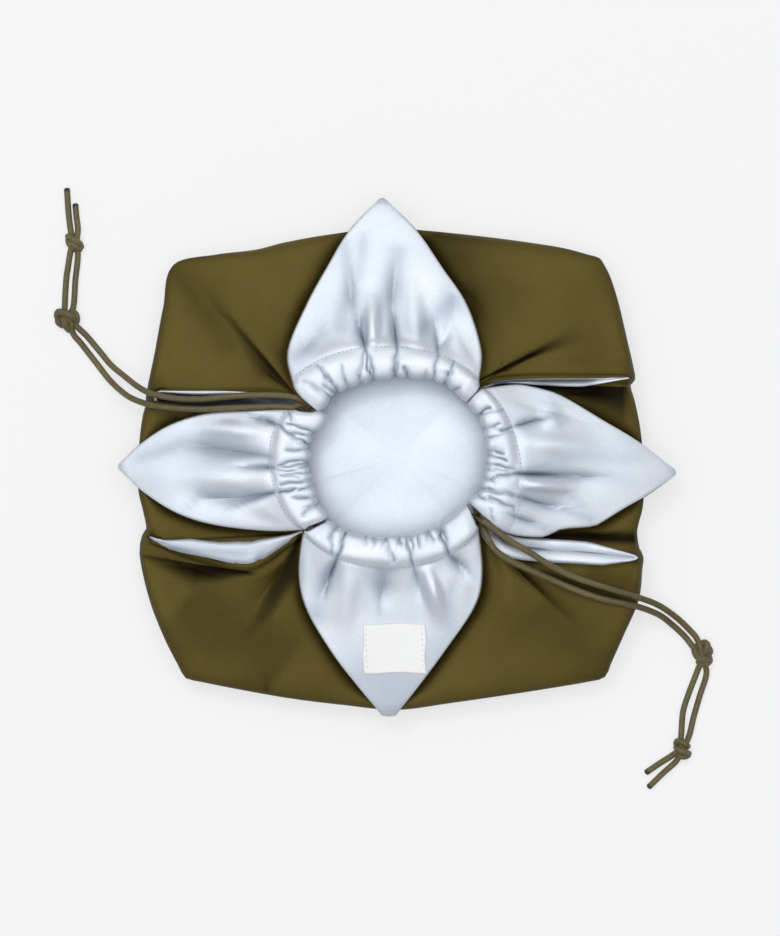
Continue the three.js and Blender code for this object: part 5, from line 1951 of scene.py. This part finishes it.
class Nodes:
    """A node tree that is filled one node at a time."""

    def __init__(self, tree: NodeTree) -> None:
        """Start with an empty tree."""
        self.tree = tree
        self.tree.nodes.clear()

    def add(self, kind: str, inputs: dict | None = None, **settings) -> Node:
        """Add one node.

        Args:
            kind: The node's type, a shader node's without its prefix.
            inputs: Values or output sockets by input name or number.
            settings: Attributes of the node.

        Returns:
            The new node.
        """
        node = self.tree.nodes.new(kind if kind.startswith("NodeGroup") else f"ShaderNode{kind}")
        for name, value in settings.items():
            setattr(node, name, value)
        for name, value in (inputs or {}).items():
            if isinstance(value, NodeSocket):
                self.tree.links.new(value, node.inputs[name])
            else:
                node.inputs[name].default_value = value
        return node

    def math(self, operation: str, *values) -> NodeSocket:
        """Add a math node and return its result."""
        return self.add("Math", dict(enumerate(values)), operation=operation).outputs[0]

    def vector(self, operation: str, *values) -> NodeSocket:
        """Add a vector math node and return its result, which is a number for a length or a dot product."""
        node = self.add("VectorMath", dict(enumerate(values)), operation=operation)
        return node.outputs["Value" if operation in ("LENGTH", "DOT_PRODUCT") else 0]


# Grain of a weave: its scale by threads, its share of the tone, and the scale of the slow drift beside it
GRAIN_SCALE = 0.7
GRAIN_SHARE = 0.6
DRIFT_SCALE = 38.0


def weave_group() -> NodeTree:
    """Node group of a plain weave: crossing threads with uneven tone.

    Returns:
        The group, with a height and a tone that both run from 0 to 1.
    """
    tree = bpy.data.node_groups.new("thread_weave", "ShaderNodeTree")
    for name, low in (("Threads per metre", 0.0), ("Turn", -7.0), ("Unevenness", 0.0)):
        tree.interface.new_socket(name, in_out="INPUT", socket_type="NodeSocketFloat").min_value = low
    for name in ("Height", "Tone"):
        tree.interface.new_socket(name, in_out="OUTPUT", socket_type="NodeSocketFloat")
    pad = Nodes(tree)
    given = pad.add("NodeGroupInput")
    where = pad.add("TexCoord").outputs["Object"]
    turned = pad.add("VectorRotate", {"Vector": where, "Angle": given.outputs["Turn"]},
                     rotation_type="Z_AXIS").outputs[0]
    parts = pad.add("SeparateXYZ", {0: turned})
    count = pad.math("MULTIPLY", given.outputs["Threads per metre"], 2 * math.pi)
    warp = pad.math("SINE", pad.math("MULTIPLY", parts.outputs[0], count))
    weft = pad.math("SINE", pad.math("MULTIPLY", parts.outputs[1], count))
    woven = pad.math("MULTIPLY_ADD", pad.math("MULTIPLY", warp, weft), 0.5, 0.5)
    scale = pad.math("MULTIPLY", given.outputs["Threads per metre"], GRAIN_SCALE)
    grain = pad.add("TexNoise", {
        "Vector": turned, "Scale": scale, "Detail": 3.0, "Roughness": 0.7,
    }).outputs[0]
    drift = pad.add("TexNoise", {"Vector": turned, "Scale": DRIFT_SCALE, "Detail": 2.0}).outputs[0]
    uneven = pad.math("MULTIPLY", given.outputs["Unevenness"], pad.math("SUBTRACT", grain, 0.5))
    height = pad.math("ADD", woven, uneven)
    tone = pad.math("ADD", pad.math("MULTIPLY", grain, GRAIN_SHARE),
                    pad.math("MULTIPLY", drift, 1.0 - GRAIN_SHARE))
    pad.add("NodeGroupOutput", {"Height": height, "Tone": tone})
    return tree


def shadow_group() -> NodeTree:
    """Node group of one painted fold shadow on an upper side.

    Returns:
        The group, which lowers the share of light that it is given.
    """
    tree = bpy.data.node_groups.new("painted_fold_shadow", "ShaderNodeTree")
    for name, kind in (("Keep", "Float"), ("Start", "Vector"), ("End", "Vector"), ("Left", "Vector"),
                       ("Right", "Vector"), ("Strength", "Vector")):
        tree.interface.new_socket(name, in_out="INPUT", socket_type=f"NodeSocket{kind}")
    tree.interface.new_socket("Keep", in_out="OUTPUT", socket_type="NodeSocketFloat")
    pad = Nodes(tree)
    given = pad.add("NodeGroupInput").outputs
    where = pad.add("TexCoord").outputs["Object"]
    flat = pad.vector("MULTIPLY", where, (1.0, 1.0, 0.0))
    away = pad.vector("SUBTRACT", flat, given["Start"])
    run = pad.vector("SUBTRACT", given["End"], given["Start"])
    length = pad.vector("LENGTH", run)
    way = pad.vector("NORMALIZE", run)
    along = pad.math("DIVIDE", pad.vector("DOT_PRODUCT", away, way), length)
    share = pad.add("Clamp", {0: along}).outputs[0]
    beyond = pad.math("MULTIPLY", pad.math("SUBTRACT", along, share), length)
    across = pad.add("SeparateXYZ", {0: pad.vector("CROSS_PRODUCT", way, away)}).outputs[2]

    def between(name: str) -> NodeSocket:
        """Follow a pair of values along the fold."""
        ends = pad.add("SeparateXYZ", {0: given[name]})
        change = pad.math("SUBTRACT", ends.outputs[1], ends.outputs[0])
        return pad.math("MULTIPLY_ADD", change, share, ends.outputs[0])

    left, right = between("Left"), between("Right")
    on_left = pad.math("GREATER_THAN", across, 0.0)
    width = pad.math("MULTIPLY_ADD", pad.math("SUBTRACT", left, right), on_left, right)
    sideways = pad.math("POWER", pad.math("ABSOLUTE", pad.math("DIVIDE", across, width)), FOLD_SHADOW_POWER)
    endways = pad.math("POWER", pad.math("ABSOLUTE", pad.math("DIVIDE", beyond, SHADE_OVERRUN * MM)), 2.0)
    far = pad.math("ADD", sideways, endways)
    strength = between("Strength")
    dark = pad.math("MULTIPLY", strength, pad.math("EXPONENT", pad.math("MULTIPLY", far, -1.0)))
    height = pad.add("SeparateXYZ", {0: where}).outputs[2]
    high = pad.add("MapRange", {0: height, 1: FOLD_SHADOW_Z[0], 2: FOLD_SHADOW_Z[1]}).outputs[0]
    light = pad.math("SUBTRACT", 1.0, pad.math("MULTIPLY", dark, high))
    pad.add("NodeGroupOutput", {"Keep": pad.math("MINIMUM", given["Keep"], light)})
    return tree


# Where a finish's colours lie in the tone, how its roughness follows the tone, and how strong its relief is
TONE_STOPS = (0.35, 0.65)
TONE_RANGE = (0.3, 0.7)
ROUGHNESS_SPREAD = 0.06
RELIEF_STRENGTH = 0.6


@dataclass(frozen=True)
class Finish:
    """A cloth, thread or cord finish."""

    name: str
    dark: Triple
    light: Triple
    roughness: float
    threads: float
    turn: float
    unevenness: float
    relief: float
    metallic: float = 0.0
    specular: float = 0.5
    # Tints of the painted shade and of a cord's sealed tip, and the painted fold shadows
    shadow: Triple | None = None
    half_shadow: Triple = (0.52, 0.52, 0.52)
    shadows: tuple[Shadow, ...] = ()

    def shaded(self, pad: Nodes, colour: NodeSocket, fold: NodeTree) -> NodeSocket:
        """Darken a colour with painted shade and painted fold shadows, and at a cord's sealed tip.

        Args:
            pad: The material's nodes.
            colour: The plain colour.
            fold: The shared group of a painted fold shadow.

        Returns:
            The darkened colour.
        """
        if self.shadow is None:
            return colour
        # Painted shade kept at the vertices; on a cord, the sealed tip's own dark colour
        painted_shade_and_seal = pad.add("Attribute", attribute_name="shade").outputs["Fac"]
        keep = pad.math("SUBTRACT", 1.0, painted_shade_and_seal)
        for row in self.shadows:
            keep = pad.add("Group", {
                "Keep": keep,
                "Start": (row.x0 * MM, row.y0 * MM, 0.0),
                "End": (row.x1 * MM, row.y1 * MM, 0.0),
                "Left": (row.left0 * MM, row.left1 * MM, 0.0),
                "Right": (row.right0 * MM, row.right1 * MM, 0.0),
                "Strength": (row.strength0, row.strength1, 0.0),
            }, node_tree=fold).outputs["Keep"]
        tint = pad.add("ValToRGB", {0: keep})
        tint.color_ramp.elements.new(0.5)
        for stop, value in zip(tint.color_ramp.elements, (self.shadow, self.half_shadow, (1.0, 1.0, 1.0))):
            stop.color = (*value, 1.0)
        mixed = pad.add("Mix", {0: 1.0, 6: colour, 7: tint.outputs[0]},
                        data_type="RGBA", blend_type="MULTIPLY")
        return mixed.outputs[2]

    def material(self, weave: NodeTree, fold: NodeTree) -> Material:
        """Make the material.

        Args:
            weave: The shared weave group.
            fold: The shared group of a painted fold shadow.

        Returns:
            The material.
        """
        made = bpy.data.materials.new(self.name)
        made.use_nodes = True
        pad = Nodes(made.node_tree)
        woven = pad.add("Group", {
            "Threads per metre": self.threads, "Turn": self.turn, "Unevenness": self.unevenness,
        }, node_tree=weave).outputs
        tones = pad.add("ValToRGB", {0: woven["Tone"]})
        for stop, position, colour in zip(tones.color_ramp.elements, TONE_STOPS, (self.dark, self.light)):
            stop.position = position
            stop.color = (*colour, 1.0)
        rough = pad.add("MapRange", {
            0: woven["Tone"], 1: TONE_RANGE[0], 2: TONE_RANGE[1],
            3: self.roughness + ROUGHNESS_SPREAD, 4: self.roughness - ROUGHNESS_SPREAD,
        }).outputs[0]
        bump = pad.add("Bump", {
            "Strength": RELIEF_STRENGTH, "Distance": self.relief, "Height": woven["Height"],
        }).outputs[0]
        shader = pad.add("BsdfPrincipled", {
            "Base Color": self.shaded(pad, tones.outputs[0], fold), "Roughness": rough, "Normal": bump,
            "Metallic": self.metallic, "Specular IOR Level": self.specular,
        })
        pad.add("OutputMaterial", {"Surface": shader.outputs[0]})
        return made


OLIVE_TAFFETA = Finish(
    "olive_taffeta", dark=(0.094, 0.07, 0.017), light=(0.126, 0.094, 0.0225), roughness=0.5, threads=2600.0,
    turn=0.02, unevenness=0.8, relief=0.00008, metallic=0.4, specular=0.07, shadow=(0.03, 0.03, 0.04),
    shadows=ROOF_SHADOWS,
)
ICE_SATIN = Finish(
    "ice_blue_satin", dark=(0.64, 0.685, 0.75), light=(0.755, 0.795, 0.85), roughness=0.36, threads=2400.0,
    turn=0.5, unevenness=1.4, relief=0.00009, metallic=0.55, shadow=(0.04, 0.05, 0.07),
    half_shadow=(0.51, 0.545, 0.605),
)
# On the cord the shadow tint only darkens the sealed tips, which are dark in their own colour
WAXED_CORD = Finish(
    "olive_waxed_cord", dark=(0.075, 0.06, 0.019), light=(0.145, 0.117, 0.044), roughness=0.46,
    threads=1500.0, turn=0.8, unevenness=1.0, relief=0.00012, shadow=(0.05, 0.06, 0.12),
)
LABEL_WEAVE = Finish(
    "white_label_weave", dark=(0.87, 0.86, 0.83), light=(0.95, 0.94, 0.92), roughness=0.8, threads=1900.0,
    turn=0.0, unevenness=0.7, relief=0.0001,
)
BLUE_THREAD = Finish(
    "blue_grey_thread", dark=(0.30, 0.35, 0.44), light=(0.42, 0.48, 0.58), roughness=0.6, threads=3000.0,
    turn=0.6, unevenness=0.5, relief=0.00003,
)
CREAM_THREAD = Finish(
    "cream_thread", dark=(0.60, 0.58, 0.52), light=(0.70, 0.68, 0.62), roughness=0.6, threads=3000.0,
    turn=0.6, unevenness=0.5, relief=0.00003,
)


@dataclass
class Studio:
    """Pale floor, soft light and the camera straight above."""

    scale_mm_per_pixel: float = 0.4
    frame_height_pixels: float = 936.0
    centre_x: float = -0.0028
    centre_y: float = -0.0042
    plane_z: float = 0.016
    lens: float = 300.0
    sensor: float = 36.0
    far: float = 50.0
    floor_size: float = 12.0
    floor_z: float = -0.0002
    floor_tone: Numbers = (0.27, 0.27, 0.27, 1.0)
    floor_glow: float = 0.635
    floor_roughness: float = 0.9
    floor_specular: float = 0.1
    lamp_place: Triple = (-0.62, 0.86, 1.9)
    lamp_size: float = 0.35
    lamp_energy: float = 9.0
    light_way: Triple = (-0.05, 0.11, 0.993)
    light_edge: Pair = (0.7, 0.98)
    low_light: float = 0.37
    high_light: float = 2.42
    low_tint: Numbers = (0.92, 0.98, 1.06, 1.0)
    white: Numbers = (1.0, 1.0, 1.0, 1.0)

    def floor(self) -> None:
        """Lay the floor."""
        bpy.ops.object.select_all(action="DESELECT")
        bpy.ops.mesh.primitive_plane_add(size=self.floor_size, location=(0.0, 0.0, self.floor_z))
        thing = bpy.context.active_object
        thing.name = "pale_floor"
        made = bpy.data.materials.new("pale_floor")
        made.use_nodes = True
        shader = made.node_tree.nodes["Principled BSDF"]
        shader.inputs["Base Color"].default_value = self.floor_tone
        shader.inputs["Emission Color"].default_value = self.white
        shader.inputs["Emission Strength"].default_value = self.floor_glow
        shader.inputs["Roughness"].default_value = self.floor_roughness
        shader.inputs["Specular IOR Level"].default_value = self.floor_specular
        thing.data.materials.append(made)

    def light(self) -> None:
        """Hang the lamp and set the room's soft light."""
        bpy.ops.object.light_add(type="AREA", location=self.lamp_place)
        lamp = bpy.context.active_object
        lamp.name = "key"
        lamp.data.size = self.lamp_size
        lamp.data.energy = self.lamp_energy
        x, y, z = self.lamp_place
        lamp.rotation_euler = (math.atan2(math.hypot(x, y), z), 0.0, math.atan2(-x, y))
        world = bpy.data.worlds.new("room")
        bpy.context.scene.world = world
        world.use_nodes = True
        pad = Nodes(world.node_tree)
        way = pad.add("TexCoord").outputs["Generated"]
        facing = pad.vector("DOT_PRODUCT", way, self.light_way)
        level = pad.add("MapRange", {
            0: facing, 1: self.light_edge[0], 2: self.light_edge[1], 3: self.low_light, 4: self.high_light,
        }, interpolation_type="SMOOTHSTEP").outputs[0]
        share = pad.math("DIVIDE", level, self.high_light)
        tints = {0: share, 6: self.low_tint, 7: self.white}
        colour = pad.add("Mix", tints, data_type="RGBA").outputs[2]
        sky = pad.add("Background", {"Color": colour, "Strength": level})
        pad.add("OutputWorld", {"Surface": sky.outputs[0]})
        bpy.context.scene.view_settings.view_transform = "Standard"

    def camera(self) -> None:
        """Set the camera straight above the pouch."""
        height = self.scale_mm_per_pixel * self.frame_height_pixels * MM * self.lens / self.sensor
        place = (self.centre_x, self.centre_y, self.plane_z + height)
        bpy.ops.object.camera_add(location=place, rotation=(0.0, 0.0, 0.0))
        camera = bpy.context.active_object
        camera.name = "photo_camera"
        camera.data.lens = self.lens
        camera.data.sensor_width = self.sensor
        camera.data.clip_end = self.far
        bpy.context.scene.camera = camera


def main() -> None:
    """Build the pouch, its finishes and its studio."""
    logging.basicConfig(level=logging.INFO, format="%(message)s")
    studio = Studio()
    studio.camera()
    weave = weave_group()
    # The node group that paints fold shadows into the colour
    fold = shadow_group()
    olive, satin, waxed, woven, thread, cream = (
        finish.material(weave, fold)
        for finish in (OLIVE_TAFFETA, ICE_SATIN, WAXED_CORD, LABEL_WEAVE, BLUE_THREAD, CREAM_THREAD)
    )
    form = PouchForm()
    for cord in (DrawCord("cord_left", first_panel=0, casing_row=0.67),
                 DrawCord("cord_right", first_panel=2, casing_row=1.33)):
        for thing in cord.build(form, waxed):
            LOG.info("made %s", thing.name)
    cloths = PouchCloth(form).build(olive, satin)
    sewn = WovenLabel()
    label = sewn.build(cloths["lining"], woven)
    seams, tacking = Stitching(), Stitching(pitch=2.1, width=0.36)
    lines = seams.casing_lines(form, cloths["lining"])
    stitches = seams.rows("casing_stitches", lines, thread, "lining_satin")
    tacks = tacking.rows("label_stitches", sewn.seam_lines(label), cream, "label_cloth")
    for thing in (*cloths.values(), label, stitches, tacks):
        LOG.info("made %s with %d faces", thing.name, len(thing.data.polygons))
    studio.floor()
    studio.light()


if __name__ == "__main__":
    main()
